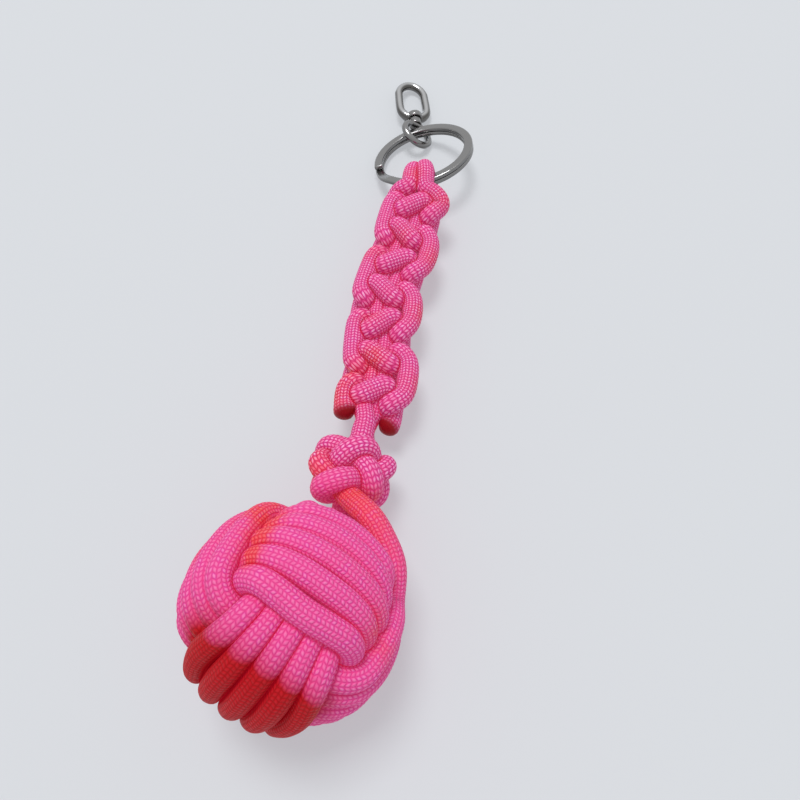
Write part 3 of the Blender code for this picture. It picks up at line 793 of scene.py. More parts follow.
@dataclass
class SplitRing:
    """One flat wire wound nearly two turns, one layer on the other, with a step between the layers."""

    centre: tuple = (0.25, 117.9, 5.6)
    normal: tuple = (-0.295, 0.138, 0.946)
    radius: float = 11.9
    wire_width: float = 2.2
    wire_height: float = 1.03
    layer_rise: float = 1.15
    jog_angle: float = 220.0
    jog_arc: float = 42.0
    step_arc: float = 1.5
    corner_share: float = 0.32
    end_share: float = 0.8

    def place(self, angle: float) -> Array:
        """A point of the wire's middle line by its compass direction seen from above.

        Args:
            angle: the direction from the ring's middle, in degrees.

        Returns:
            The point, in millimetres.
        """
        normal = unit(self.normal)
        flat = np.array([math.cos(math.radians(angle)), math.sin(math.radians(angle)), 0.0])
        flat[2] = -(normal @ flat) / normal[2]
        return np.array(self.centre) + self.radius * unit(flat)

    def section(self) -> Array:
        """The flat wire's outline: a rectangle whose corners are quarter circles, 8 points a corner.

        Returns:
            (outward, up) rows.
        """
        radius = self.corner_share * self.wire_height
        turns = np.radians(np.linspace(0.0, 90.0, 8))
        corners = []
        for quarter, (x, z) in enumerate(((1, 1), (-1, 1), (-1, -1), (1, -1))):
            angle = turns + quarter * math.pi / 2
            middle = np.array([x * (self.wire_width / 2 - radius), z * (self.wire_height / 2 - radius)])
            corners.append(middle + radius * np.stack([np.cos(angle), np.sin(angle)], axis=1))
        return np.vstack(corners)

    def mesh(self) -> bpy.types.Mesh:
        """Carries the section round: radius + x outward and height + z along the normal.

        The height rises by one layer over the jog's arc, in an S curve.

        Returns:
            The mesh.
        """
        first = self.jog_angle + self.jog_arc / 2
        angle = np.arange(first, first + 720.0 - self.jog_arc + 0.1, self.step_arc)
        climbed = np.clip((angle - (first + 360.0 - self.jog_arc)) / self.jog_arc, 0.0, 1.0)
        height = self.layer_rise * (eased(climbed) - 0.5)
        section = self.section()
        ends = np.ones(len(angle))
        ends[[0, -1]] = self.end_share
        reach = self.radius + ends[:, None] * section[None, :, 0]
        rise = height[:, None] + ends[:, None] * section[None, :, 1]
        turned = np.radians(angle)[:, None]
        normal = unit(self.normal)
        east = unit(np.array([1.0, 0.0, 0.0]) - normal * normal[0])
        axes = (east, np.cross(normal, east), normal)
        grid = in_frame(self.centre, axes, reach * np.cos(turned), reach * np.sin(turned), rise)
        return grid_mesh("split_ring_wire", grid * MM, False, True, caps=True)

    def build(self, finish: PlatedSteel) -> None:
        """The bright ring in place of the plain one.

        Args:
            finish: the plating.
        """
        mesh = self.mesh()
        # Painted reflection of a bright room, as values for the plating's colour.
        add_painted_reflection(mesh)
        ring = add_piece("split_ring_wire", mesh, finish.material())
        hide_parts("split_ring")
        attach(ring, "ring")


@dataclass
class WovenBar:
    """The flat woven bar: two core strands that turn over the ring and come back as working strands.

    Seven half knots are tied round the cores, the front strand and the back strand crossing at each. On
    the right the front strand's turns are pulled in and the back strand's stand out in short bows, drawn
    along the bar. The squeeze is the share of their offset that the cords keep on the left and the right.
    """

    ring: SplitRing
    line: tuple = ((3.05, 35.6, 9.0), (2.7, 42.5, 7.9), (2.9, 50.0, 7.3), (1.5, 57.3, 7.0), (0.7, 65.0, 7.0),
                   (0.1, 73.2, 7.0), (1.0, 81.7, 7.0), (1.4, 90.0, 7.2), (1.6, 98.0, 7.5))
    half_knots: int = 7
    pitch: float = 8.55
    first_level: float = 10.0
    half_width: float = 6.75
    crossing_height: float = 3.2
    core_spacing: float = 2.96
    neck_spacing: float = 3.2
    bight_angle: float = -82.0
    bight_reach: float = 3.15
    half_knot: Array = field(default_factory=lambda: np.array([
        (-1.0, -0.65, -0.3), (-0.8, -0.63, 1.7), (-0.6, 0.46, 1.3), (-0.45, 0.91, 1.9), (0.0, 1.0, 0.0),
        (0.45, 0.91, -1.9), (0.6, 0.46, -1.3), (0.8, -0.63, -1.7), (1.0, -0.65, 0.3)]))
    front_shoulder: tuple = ((-2.6, 3.2, 4.6), (-4.9, 2.3, 5.3), (-6.6, 0.2, 6.3))
    back_shoulder: tuple = ((2.4, 3.3, 4.6), (5.0, 3.1, 5.4), (7.6, 2.6, 6.9))
    last_end: tuple = ((6.0, -1.8, 4.0), (4.6, -1.5, 6.6))
    right_slack: float = 1.2
    right_tight: float = 0.84
    slack_draw: float = 1.2
    squeeze: tuple[float, float] = (0.77, 0.78)

    def __post_init__(self) -> None:
        """Runs the middle line on to the ring, and measures it from there."""
        chosen = np.vstack([self.line, self.ring.place(self.bight_angle)])
        self.fine = smooth_route(chosen, 0.5)[::-1]
        self.travelled = lengths_along(self.fine)
        self.length = self.travelled[-1]

    def on_line(self, along: Array) -> Array:
        """Points of the middle line, which runs on straight past the ring.

        Args:
            along: distances from the ring.

        Returns:
            The points.
        """
        inside = np.clip(along, 0.0, self.length)
        centre = np.stack([np.interp(inside, self.travelled, self.fine[:, k]) for k in range(3)], axis=-1)
        return centre - np.minimum(along, 0.0)[:, None] * unit(self.fine[0] - self.fine[4])

    def place(self, places: Any) -> Array:
        """Places given across, up and along the bar, turned to the frame's axes.

        Args:
            places: (across, up, along) rows in millimetres, along being the distance from the ring.

        Returns:
            The points.
        """
        across, up, along = np.asarray(places, float).reshape(-1, 3).T
        across = across * np.where(across < 0.0, *self.squeeze)
        direction = unit(self.on_line(along - 1.0) - self.on_line(along + 1.0))
        side = unit(np.cross(direction, (0.0, 0.0, 1.0)))
        return self.on_line(along) + across[:, None] * side + up[:, None] * np.cross(side, direction)

    def working(self, front: bool) -> Array:
        """A working strand's points, from its shoulder by the ring to its melted end.

        Args:
            front: the front strand, or else the back one, which mirrors it.

        Returns:
            The chosen points.
        """
        turn = 1.0 if front else -1.0
        rows = [np.array(self.front_shoulder if front else self.back_shoulder)]
        for level in range(self.half_knots):
            way = turn if level % 2 == 0 else -turn
            middle = (0.0, 0.0, self.first_level + level * self.pitch)
            knot = self.half_knot * (way * self.half_width, turn * self.crossing_height, 1.0) + middle
            turns = (np.abs(self.half_knot[:, 0]) == 1.0) & (knot[:, 0] > 0.0)
            knot[turns, 0] *= self.right_tight if front else self.right_slack
            if not front:
                knot[turns, 2] += np.sign(self.half_knot[turns, 2]) * self.slack_draw
            rows.append(knot)
        last = self.first_level + (self.half_knots - 1) * self.pitch
        rows.append(np.array(self.last_end) * (turn, turn, 1.0) + (0.0, 0.0, last))
        return self.place(np.vstack(rows))

    def core(self, way: float) -> Array:
        """A core strand from the neck, above or below the other, to its bight.

        Args:
            way: 1 for the right strand, -1 for the left.

        Returns:
            The chosen points.
        """
        across, height = way * self.core_spacing / 2, -way * self.neck_spacing / 2
        start = self.length - 1.3
        rows = [(0.0, height, start), (0.0, height, start - 1.6), (0.7 * across, 0.72 * height, start - 4.2)]
        rows += [(across, 0.0, along) for along in np.arange(start - 7.5, 8.0, -4.0)]
        rows.append((across, -1.3, 5.8))
        return self.place(rows)

    def bight(self, way: float) -> Array:
        """The loop over the ring's wire: reach x (sin, cos) round it, from beneath to on top.

        Args:
            way: 1 for the right bight, -1 for the left.

        Returns:
            The chosen points.
        """
        beside = math.degrees(self.core_spacing / 2 / self.ring.radius)
        centre = self.ring.place(self.bight_angle + way * beside)
        inward = unit(np.array(self.ring.centre) - centre)
        normal = unit(self.ring.normal)
        angle = np.radians(np.arange(-90.0, 91.0, 20.0))[:, None]
        loop = centre + self.bight_reach * (np.sin(angle) * normal + np.cos(angle) * inward)
        first = centre - normal * self.bight_reach - inward * 1.9
        last = centre + normal * self.bight_reach - inward * 1.6
        return np.vstack([first, loop, last])


class Stretch(Enum):
    """The cord's stretches, in order along it, each one piece of the model."""

    BACK_STRAND = "bar_back_strand_cord"
    UPPER_LANYARD = "upper_lanyard_cord"
    FIRST_TURNS = "fist_first_turns_cord"
    SECOND_TURNS = "fist_second_turns_cord"
    THIRD_TURNS = "fist_third_turns_cord"
    LAST_TURNS = "fist_last_turns_cord"
    LOWER_LANYARD = "lower_lanyard_cord"
    FRONT_STRAND = "bar_front_strand_cord"


@dataclass
class Cord:
    """The whole braided cord: its line, its skin and its pieces."""

    fist: MonkeyFist
    knot: ButtonKnot
    bar: WovenBar
    braid: BraidedNylon
    radius: float = 2.25
    pitch: float = 0.66
    steps_a_pitch: int = 3
    points_a_column: int = 2
    grain_height: float = 0.09
    neck: tuple = (3.05, 35.6, 9.0)
    touch_gap: float = 0.03
    bend_share: float = 0.92
    soft_rounds: int = 24
    near_along: float = 6.5
    join_power: float = 12.0
    grain_level: float = 0.6
    press_depth: float = 0.40
    # The melted ends: how far they are rounded, where they swell, and how far the melt reaches
    end_round: float = 2.0
    swell: tuple[float, float, float] = (0.10, 1.6, 1.1)
    melt: tuple[float, float] = (1.6, 1.7)
    # Coral on the lanyard beside the fist: its strength and reach along the cord
    tail_coral: float = 0.9
    tail_reach: float = 14.0
    # The painted gap shade and crown sheen that make the yarns show crisply start at this y, away from the
    # fist, and are full this much further
    crisp_from: float = 22.0
    crisp_over: float = 6.0
    # Where the dye is more coral than pink, and where the cord is deep red, partly red dye and partly painted
    # shade on the fist's lower near side: x, y, z, reach, strength
    coral_places: tuple = (
        (-5.6, 4.5, 32.4, 2.0, 1.5),
        (-5.5, 8.5, 31.0, 2.3, 1.6),
        (-5.2, 12.0, 28.5, 2.4, 1.4),
        (-5.5, 15.5, 24.0, 2.2, 0.9),
        (-9.0, 12.5, 26.0, 3.0, 1.0),
        (14.6, -1.0, 26.0, 2.6, 0.6),
        (15.8, -3.5, 22.0, 2.2, 0.4),
        (-15.6, 6.5, 23.0, 4.0, 0.6),
        (-6.0, 25.0, 11.0, 4.2, 1.5),
        (-2.0, 22.0, 9.0, 3.0, 1.0),
        (7.5, 22.0, 12.0, 3.0, 0.8),
        (-4.0, 41.5, 8.0, 4.6, 1.6),
        (-3.0, 48.0, 10.0, 3.0, 1.0),
        (1.5, 53.0, 11.0, 2.8, 1.1),
        (10.5, 48.5, 9.0, 2.6, 0.9),
        (9.0, 66.5, 9.0, 3.2, 0.9),
        (-1.0, 62.5, 11.0, 2.6, 0.6),
        (-4.4, 80.0, 8.0, 3.4, 1.2),
        (8.5, 81.6, 9.0, 3.0, 0.9),
        (1.6, 86.0, 11.0, 2.4, 0.6),
        (8.2, 99.0, 10.0, 3.0, 1.0),
        (1.0, 104.0, 11.0, 2.6, 1.1),
    )
    deep_red_and_shade_places: tuple = (
        (-9.5, -10.5, 27.0, 5.4, 1.8),
        (-3.0, -12.5, 28.0, 5.2, 1.8),
        (2.5, -14.0, 26.5, 4.4, 1.8),
        (6.5, -15.0, 24.0, 4.0, 1.6),
        (-9.5, -14.0, 20.0, 6.0, 1.8),
        (-2.0, -17.0, 20.0, 6.0, 1.8),
        (-4.0, -18.0, 14.0, 7.0, 1.6),
    )

    def line(self) -> tuple[Array, list[int]]:
        """The cord's middle line and the rows where one stretch ends and the next begins.

        Returns:
            Even points along the whole cord, and the row of each cut, with the first and last row.
        """
        upper, lower = self.fist.leads()
        fist = self.fist.route()
        neck_back = unit(np.array(self.bar.line[0]) - np.array(self.bar.line[1]))
        height = np.array([0.0, 0.0, self.bar.neck_spacing / 2])
        neck = np.array(self.neck)
        lanyards = []
        for lead, turned, rise in ((upper, 0.0, -height), (lower, 180.0, height)):
            hinge = neck + rise
            lanyards.append(np.vstack([lead, self.knot.route(turned), hinge + 1.5 * neck_back, hinge]))
        back = [self.bar.working(False)[::-1], self.bar.bight(1.0)[::-1]]
        front = [self.bar.bight(-1.0), self.bar.working(True)]
        runs = [*back, self.bar.core(1.0)[::-1], lanyards[0][::-1], fist, lanyards[1], self.bar.core(-1.0),
                *front]
        marks = np.cumsum([len(run) for run in runs])
        chosen = np.vstack(runs)
        spacing = self.pitch / self.steps_a_pitch
        fine = soften(smooth_route(chosen, spacing), self.soft_rounds)
        fine = even_route(fine, spacing)
        travelled = lengths_along(fine)
        stops = [self.nearest(fine, chosen[marks[k] - 1]) for k in (1, 3, 4, 5, 6)]
        winding = np.linspace(travelled[stops[1]], travelled[stops[2]], 5)
        thirds = [int(np.searchsorted(travelled, place)) for place in winding[1:-1]]
        cuts = [0, stops[0], stops[1], *thirds, stops[2], stops[4], len(fine) - 1]
        return fine, cuts

    @staticmethod
    def nearest(line: Array, place: Array) -> int:
        """The row of the line nearest a place."""
        return int(np.argmin(((line - place) ** 2).sum(axis=1)))

    def directions(self, line: Array) -> tuple[Array, Array]:
        """Unit directions from the middle line to its skin, and the line's own direction.

        Each is cos x first + sin x second of the carried frames, so the braid never spins on the line.

        Args:
            line: the middle line.

        Returns:
            Directions at each row and column, and along at each row.
        """
        along, first, second = carried_frames(line)
        sides = self.braid.columns * self.points_a_column
        angle = angles_round(sides)[None, :, None]
        return np.cos(angle) * first[:, None] + np.sin(angle) * second[:, None], along

    def room(self, line: Array, directions: Array, along: Array) -> Array:
        """How far the skin may stand from the middle line in each direction.

        The limit to another turn is the plane half way to its middle line: half the distance over the
        cosine between the direction and the way to it. On the inside of a bend it is the bend's radius
        over the cosine to the bend's centre. Limits and the cord's own radius are joined softly, as
        (radius^-p + limit^-p)^(-1/p).

        Args:
            line: the middle line.
            directions: unit directions at each row.
            along: the line's own direction.

        Returns:
            The skin's distance at each row and direction.
        """
        step, block, far, free, least = 3, 400, 99.0, 50.0, 0.02
        others = line[::step]
        rank = np.arange(0, len(line), step)
        travelled = lengths_along(line)
        reach = 2.0 * self.radius + 0.1
        limit = np.full(directions.shape[:2], free)
        for start in range(0, len(line), block):
            rows = np.arange(start, min(start + block, len(line)))
            apart = others[None] - line[rows][:, None]
            distance = np.linalg.norm(apart, axis=2)
            own = np.abs(travelled[rank][None] - travelled[rows][:, None]) < self.near_along
            distance[own] = far
            close = distance < reach
            most = int(close.sum(axis=1).max())
            if most == 0:
                continue
            order = np.argsort(distance, axis=1)[:, :most]
            chosen = np.take_along_axis(distance, order, axis=1)
            ways = np.take_along_axis(apart, order[..., None], axis=1) / chosen[..., None]
            cosine = np.einsum("rdk,rnk->rdn", directions[rows], ways)
            half = np.where(chosen < reach, chosen, far)[:, None] / 2 - self.touch_gap
            limit[rows] = (half / np.maximum(cosine, least)).min(axis=2)
        bend = np.gradient(along, travelled, axis=0)
        inward = np.einsum("rdk,rk->rd", directions, bend)
        limit = np.minimum(limit, self.bend_share / np.maximum(inward, least))
        power = self.join_power
        return (self.radius ** -power + limit ** -power) ** (-1.0 / power)

    def skin(self) -> tuple[Array, dict[str, Array], list[int]]:
        """The tube's points, its named values at each row and column, and the cuts.

        Returns:
            The points, the values by name, and the rows of the cuts.
        """
        line, cuts = self.line()
        directions, along = self.directions(line)
        reach = self.room(line, directions, along)
        sides = directions.shape[1]
        around = (np.arange(sides) + 0.5) / sides
        rows = np.arange(len(line)) / self.steps_a_pitch
        travelled = lengths_along(line)
        from_end = np.minimum(travelled, travelled[-1] - travelled)
        short = 1.0 - np.clip(from_end / self.end_round, 0.0, 1.0)
        rounded = np.sqrt(np.clip(1.0 - short ** 2, 0.03, 1.0))
        swell, swell_place, swell_reach = self.swell
        swollen = 1.0 + swell * bell((from_end - swell_place) / swell_reach)
        melt = np.clip(self.melt[0] - from_end / self.melt[1], 0.0, 1.0)
        grain = self.braid.grain(around[None], rows[:, None]) - self.grain_level
        # pressed marks where the cord meets another turn; the material paints shade and an emission there.
        pressed = np.clip((self.radius - reach) / self.press_depth, 0.0, 1.0)
        raised = self.grain_height * grain * (1.0 - melt)[:, None]
        reach = (reach + raised) * (rounded * swollen)[:, None]
        points = line[:, None] + reach[..., None] * directions
        points[..., 2] = np.maximum(points[..., 2], 0.0)
        tail = bell((np.arange(len(line)) - cuts[2]) * self.pitch / self.steps_a_pitch / self.tail_reach)
        coral = self.patches(points, self.coral_places) + self.tail_coral * tail[:, None]
        values = {"coral": np.clip(coral, 0.0, 1.0),
                  "red": np.clip(self.patches(points, self.deep_red_and_shade_places), 0.0, 1.0),
                  "melt": np.repeat(melt[:, None], sides, axis=1), "pressed": pressed,
                  "crisp": np.clip((points[..., 1] - self.crisp_from) / self.crisp_over, 0.0, 1.0)}
        return points, values, cuts

    @staticmethod
    def patches(points: Array, places: tuple) -> Array:
        """The sum of soft round patches of dye: strength x exp(-(distance / reach)^2).

        Args:
            points: the skin's points.
            places: (x, y, z, reach, strength) of each patch.

        Returns:
            The amount at each point.
        """
        amount = np.zeros(points.shape[:2])
        for x, y, z, reach, strength in places:
            distance = ((points - (x, y, z)) ** 2).sum(axis=2)
            amount += strength * np.exp(-distance / reach ** 2)
        return amount

    def piece(self, name: str, points: Array, values: dict[str, Array], first_row: int,
              material: bpy.types.Material) -> bpy.types.Object:
        """One closed stretch of the skin with the braid's map and its named values.

        Args:
            name: the piece's name.
            points: the skin's rows of this stretch, in millimetres.
            values: the named values at each point.
            first_row: the stretch's first row on the whole cord, which keeps the braid in step.
            material: the cord's material.

        Returns:
            The piece.
        """
        mesh = grid_mesh(name, points * MM, False, True, caps=True)
        rows, sides = points.shape[:2]
        for title, value in values.items():
            name_values(mesh, title, np.concatenate([value.ravel(), [value[0].mean(), value[-1].mean()]]))
        column = (np.arange(sides + 1) + 0.5) / sides
        row = (first_row + np.arange(rows)) / self.steps_a_pitch
        u, v = np.meshgrid(column, row)
        grid = np.stack([u, v], axis=-1)
        quads = np.stack([grid[:-1, :-1], grid[:-1, 1:], grid[1:, 1:], grid[1:, :-1]], axis=2).reshape(-1, 2)
        ends = []
        for edge, turned in ((grid[0], True), (grid[-1], False)):
            middle = (edge[1:] + edge[:-1]) / 2
            pair = (edge[1:], edge[:-1]) if turned else (edge[:-1], edge[1:])
            ends.append(np.stack([middle, *pair], axis=1).reshape(-1, 2))
        layer = mesh.uv_layers.new(name="braid")
        layer.data.foreach_set("uv", np.vstack([quads, *ends]).astype(np.float32).ravel())
        return add_piece(name, mesh, material)

    def build(self) -> None:
        """Makes every stretch, hangs each but the two lanyards on its body, bakes the lanyards in place and
        hides the plain solids that each stands for.
        """
        points, values, cuts = self.skin()
        material = self.braid.material()
        stands_for = {
            Stretch.BACK_STRAND: ("bar_strand_back", "ring_bight_right"),
            Stretch.UPPER_LANYARD: ("lanyard_strand_upper", "bar_core_right"),
            Stretch.FIRST_TURNS: ("fist_winding",),
            Stretch.SECOND_TURNS: ("fist_winding",),
            Stretch.THIRD_TURNS: ("fist_winding",),
            Stretch.LAST_TURNS: ("fist_winding",),
            Stretch.LOWER_LANYARD: ("lanyard_strand_lower", "bar_core_left"),
            Stretch.FRONT_STRAND: ("bar_strand_front", "ring_bight_left"),
        }
        for (stretch, nodes), first, last in zip(stands_for.items(), cuts, cuts[1:]):
            rows = slice(first, last + 1)
            held = {title: value[rows] for title, value in values.items()}
            made = self.piece(stretch.value, points[rows], held, first, material)
            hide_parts(*nodes)
            if stretch in (Stretch.UPPER_LANYARD, Stretch.LOWER_LANYARD):
                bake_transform(made)
            else:
                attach(made, "bar" if "bar" in stretch.value else "fist")


# The swivel

@dataclass
class Swivel:
    """A small wire eye on the ring, a rivet and an oval bow that spins on it."""

    ring: SplitRing
    ring_angle: float = 109.0
    yaw: float = 106.0
    slope: float = -3.5
    eye_tilt: float = 34.0
    bow_tilt: float = 10.0
    eye_slack: float = 0.6
    eye_lift: float = 0.2
    eye_radius: float = 3.8
    eye_wire: float = 1.8
    boss_diameter: float = 3.4
    boss_length: float = 1.6
    rivet_diameter: float = 1.5
    rivet_gap: float = 0.3
    head_diameter: float = 3.0
    head_height: float = 0.8
    collar_diameter: float = 4.4
    collar_height: float = 1.8
    bow_length: float = 16.4
    bow_width: float = 9.6
    bow_wire: float = 2.3

    def axes(self, tilt: float) -> tuple[Array, Array, Array]:
        """Along the swivel, across it and square to both, turned by a tilt about its length.

        Args:
            tilt: the turn in degrees.

        Returns:
            The three directions.
        """
        yaw, slope, tilt = (math.radians(angle) for angle in (self.yaw, self.slope, tilt))
        along = np.array([math.cos(yaw) * math.cos(slope), math.sin(yaw) * math.cos(slope), math.sin(slope)])
        level = unit(np.cross(along, (0.0, 0.0, 1.0)))
        upright = np.cross(level, along)
        face = math.cos(tilt) * upright + math.sin(tilt) * level
        return along, np.cross(face, along), face

    def centre(self) -> Array:
        """The eye's middle, a little nearer than the ring's wire that it hangs on."""
        nearer = self.axes(0.0)[0] * self.eye_slack
        return self.ring.place(self.ring_angle) - nearer + (0.0, 0.0, self.eye_lift)

    def turned(self, name: str, profile: Sequence[tuple[float, float]], tilt: float, steps: int = 48,
               closed: bool = False) -> bpy.types.Mesh:
        """A shape turned round the swivel's length: profile radius x (cos, sin) and height.

        Args:
            name: the mesh's name.
            profile: (radius, height) pairs, from the far end to the near one on the outer side.
            tilt: which of the swivel's frames it stands in.
            steps: points round.
            closed: the profile's last point joins its first.

        Returns:
            The mesh.
        """
        along, across, face = self.axes(tilt)
        radius, height = np.array(profile).T[:, :, None]
        angle = angles_round(steps)[None]
        grid = in_frame(self.centre(), (across, face, along), radius * np.cos(angle),
                        radius * np.sin(angle), height * np.ones_like(angle))
        return grid_mesh(name, grid * MM, closed, True, caps=not closed)

    @staticmethod
    def rounded(radius: float, low: float, high: float, edge: float) -> list[tuple[float, float]]:
        """A rod's profile with rounded rims, from the far end down its outer side.

        Args:
            radius: the rod's radius.
            low: height of its near end.
            high: height of its far end.
            edge: the rims' radius.

        Returns:
            (radius, height) pairs.
        """
        turns = np.radians(np.linspace(90.0, 0.0, 6))
        top = [(radius - edge + edge * math.cos(t), high - edge + edge * math.sin(t)) for t in turns]
        return [(0.02, high), *top, *[(x, low + high - z) for x, z in reversed(top)], (0.02, low)]

    def boss_end(self) -> float:
        """Distance from the eye's middle to the end of its boss."""
        return self.eye_radius + self.eye_wire / 2 + self.boss_length / 2

    def eye_mesh(self) -> bpy.types.Mesh:
        """A wire ring that thickens toward its boss, and the boss.

        Returns:
            The mesh.
        """
        along, across, face = self.axes(self.eye_tilt)
        angle = angles_round(96)[:, None]
        round_ = angles_round(24)[None]
        wire = self.eye_wire / 2 * (1.0 + 0.22 * bell(np.angle(np.exp(1j * angle)) / 0.45))
        reach = self.eye_radius + wire * np.cos(round_)
        grid = in_frame(self.centre(), (along, across, face), reach * np.cos(angle),
                        reach * np.sin(angle), wire * np.sin(round_))
        ring = grid_mesh("eye_ring", grid * MM, True, True)
        end = self.boss_end()
        outline = self.rounded(self.boss_diameter / 2, end - self.boss_length - 0.5, end, 0.3)
        boss = self.turned("eye_boss", outline, self.eye_tilt)
        return joined_mesh("swivel_eye_wire", [ring, boss])

    def bow_line(self, base: float, top: float) -> Array:
        """The bow's middle line: half an oval on two sides that draw in to the collar, across and along.

        Args:
            base: height of its feet.
            top: height of its outer crown.

        Returns:
            (across, along) rows.
        """
        half = (self.bow_width - self.bow_wire) / 2
        crown = top - self.bow_wire / 2
        shoulder = crown - half * 1.35
        foot = self.collar_diameter / 2 - self.bow_wire / 3
        left = [(-foot + 0.9, base), (-foot - 0.1, base + 0.1), (-foot - 0.55 * (half - foot), base + 0.9),
                (-half, base + 3.2)]
        angle = np.radians(np.arange(180.0, -1.0, -20.0))
        arc = np.stack([half * np.cos(angle), shoulder + (crown - shoulder) * np.sin(angle)], axis=1)
        right = [(-x, z) for x, z in reversed(left)]
        return np.vstack([left, arc, right])

    def bow_mesh(self) -> bpy.types.Mesh:
        """The bow's wire, thicker at its foot, and its collar with the rivet's hole.

        Returns:
            The mesh.
        """
        start = self.boss_end() + self.rivet_gap
        end = start + self.collar_height
        flat = self.bow_line((start + end) / 2, start + self.bow_length)
        along, across, face = self.axes(self.bow_tilt)
        line = smooth_route(np.insert(flat, 1, 0.0, axis=1), 0.25)
        tangent = unit(np.gradient(line, axis=0))
        outward = np.stack([tangent[:, 2], np.zeros(len(line)), -tangent[:, 0]], axis=1)
        share = lengths_along(line) / lengths_along(line)[-1]
        foot = bell(np.minimum(share, 1 - share) / 0.10)
        angle = angles_round(28)[None]
        wide = (self.bow_wire / 2 * (1.0 - 0.06 + 0.10 * foot))[:, None] * np.cos(angle)
        thick = (self.bow_wire / 2 * (0.90 + 0.25 * foot))[:, None] * np.sin(angle)
        flatwise = line[:, None] + wide[..., None] * outward[:, None]
        grid = in_frame(self.centre(), (across, face, along), flatwise[..., 0], thick, flatwise[..., 2])
        wire = grid_mesh("bow_wire", grid * MM, False, True, caps=True)
        bore = self.rivet_diameter / 2 + self.rivet_gap
        outer = self.rounded(self.collar_diameter / 2, start, end, 0.35)[1:-1]
        collar = self.turned("bow_collar", [(bore, end), *outer, (bore, start)], self.bow_tilt, closed=True)
        return joined_mesh("swivel_bow_loop", [wire, collar])

    def rivet_mesh(self) -> bpy.types.Mesh:
        """The rivet: a shank from the boss through the collar and a domed head.

        Returns:
            The mesh.
        """
        start = self.boss_end() + 2 * self.rivet_gap + self.collar_height
        head, shank = self.head_diameter / 2, self.rivet_diameter / 2
        dome = [(head * math.sin(t), start + 0.35 + (self.head_height - 0.35) * math.cos(t))
                for t in np.radians(np.linspace(1.0, 90.0, 8))]
        foot = self.boss_end() - 1.2
        profile = [*dome, (head, start + 0.15), (head - 0.15, start), (shank, start), (shank, foot),
                   (0.02, foot)]
        return self.turned("swivel_rivet_pin", profile, self.eye_tilt)

    def build(self, finish: PlatedSteel) -> None:
        """Makes the eye, the rivet and the bow in place of their plain solids.

        Args:
            finish: the plating.
        """
        material = finish.material()
        for name, mesh, node, body in (("swivel_eye_wire", self.eye_mesh(), "swivel_eye", "swivel"),
                                       ("swivel_rivet_pin", self.rivet_mesh(), "swivel_rivet", "swivel"),
                                       ("swivel_bow_loop", self.bow_mesh(), "swivel_bow", "bow")):
            # Painted reflection of a bright room, as values for the plating's colour.
            add_painted_reflection(mesh)
            made = add_piece(name, mesh, material)
            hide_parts(node)
            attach(made, body)


# The studio

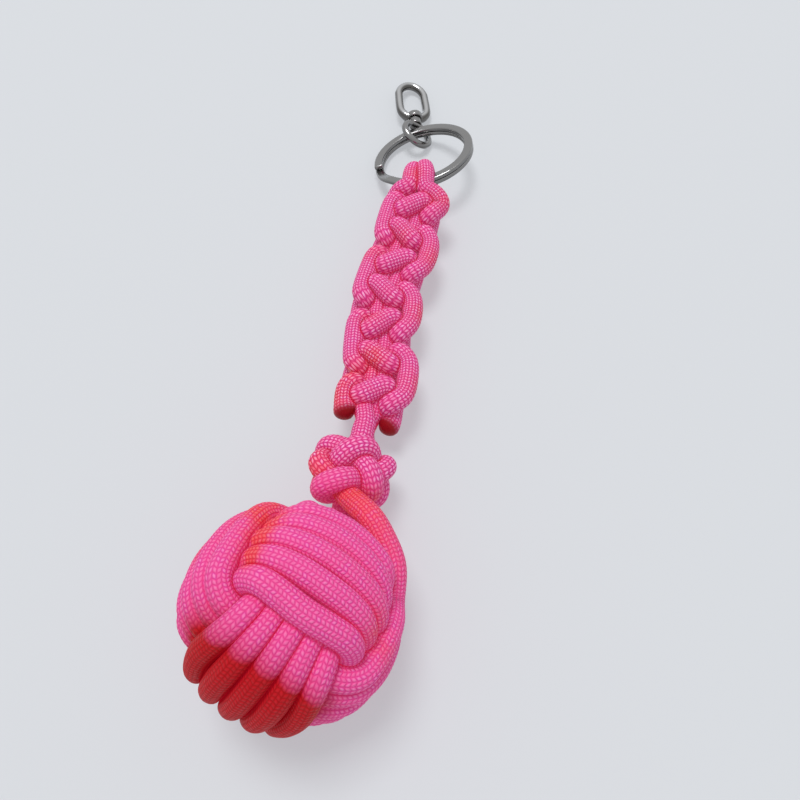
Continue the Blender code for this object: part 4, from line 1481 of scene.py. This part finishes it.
@dataclass
class Studio:
    """The pale sheet, the lamp and the camera at the photograph's viewing angle."""

    camera_place: tuple = (0.0205, -0.0136, 0.127)
    heading: tuple = (-0.197, 0.980)
    pitch: float = 63.0
    lens: float = 29.25
    floor_half: float = 3.0
    floor_drop: float = 0.00002
    lamp_place: tuple = (-0.8, 1.3, 4.5)
    lamp_aim: tuple = (0.0, 0.06, 0.0)
    lamp_size: float = 1.7
    lamp_power: float = 122.0
    world_strength: float = 0.56
    paper: StudioPaper = field(default_factory=StudioPaper)

    def add_camera(self) -> None:
        """A camera that looks along its heading and down by its pitch."""
        data = bpy.data.cameras.new("camera")
        data.lens = self.lens
        data.clip_start = 0.005
        camera = add_object("camera", data)
        heading = unit(self.heading)
        pitch = math.radians(self.pitch)
        look = Vector((*(heading * math.cos(pitch)), -math.sin(pitch)))
        camera.location = self.camera_place
        camera.rotation_euler = look.to_track_quat("-Z", "Y").to_euler()
        bpy.context.scene.camera = camera

    def add_floor(self) -> None:
        """A broad flat sheet just under the keyring."""
        grid = np.full((2, 2, 3), -self.floor_drop)
        grid[0, :, 1] = grid[:, 0, 0] = -self.floor_half
        grid[1, :, 1] = grid[:, 1, 0] = self.floor_half
        mesh = grid_mesh("studio_floor", grid, False, False)
        mesh.materials.append(self.paper.material())
        floor = add_object("studio_floor", mesh)

    def add_lamp(self) -> None:
        """A square soft white lamp that faces the keyring."""
        data = bpy.data.lights.new("key_lamp", "AREA")
        data.size = self.lamp_size
        data.energy = self.lamp_power
        lamp = add_object("key_lamp", data)
        lamp.location = self.lamp_place
        aim = Vector(self.lamp_aim) - Vector(self.lamp_place)
        lamp.rotation_euler = aim.to_track_quat("-Z", "Y").to_euler()

    def build(self) -> None:
        """Sets up the whole studio."""
        self.add_camera()
        self.add_floor()
        self.add_lamp()
        world = bpy.data.worlds.new("studio_world")
        world.use_nodes = True
        background = world.node_tree.nodes["Background"].inputs
        background["Color"].default_value = (1.0, 1.0, 1.0, 1.0)
        background["Strength"].default_value = self.world_strength
        bpy.context.scene.world = world
        bpy.context.scene.view_settings.view_transform = "Standard"
        LOG.info("studio: camera, floor and lamp")


def clear_scene() -> None:
    """Removes what the start-up file holds."""
    for thing in list(bpy.data.objects):
        bpy.data.objects.remove(thing, do_unlink=True)


def dress_ball() -> None:
    """Gives the hidden steel ball its finish, with a painted reflection."""
    ball = bpy.data.objects["core_ball"]
    add_painted_reflection(ball.data)
    ball.data.materials.clear()
    # Its second colour is the painted dark reflection.
    finish = PlatedSteel("ball_steel", (0.50, 0.50, 0.51), (0.20, 0.20, 0.20), roughness=0.22)
    ball.data.materials.append(finish.material())
    LOG.info("core_ball: steel finish")


def main() -> None:
    """Builds the keyring's pieces round the frame, and the studio."""
    clear_scene()
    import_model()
    low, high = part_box("core_ball")
    centre = np.array((low + high) / 2) / MM
    ring = SplitRing()
    plating = PlatedSteel()
    Studio().build()
    Cord(MonkeyFist(centre), ButtonKnot(), WovenBar(ring), BraidedNylon()).build()
    ring.build(plating)
    Swivel(ring).build(plating)
    dress_ball()


if __name__ == "__main__":
    main()
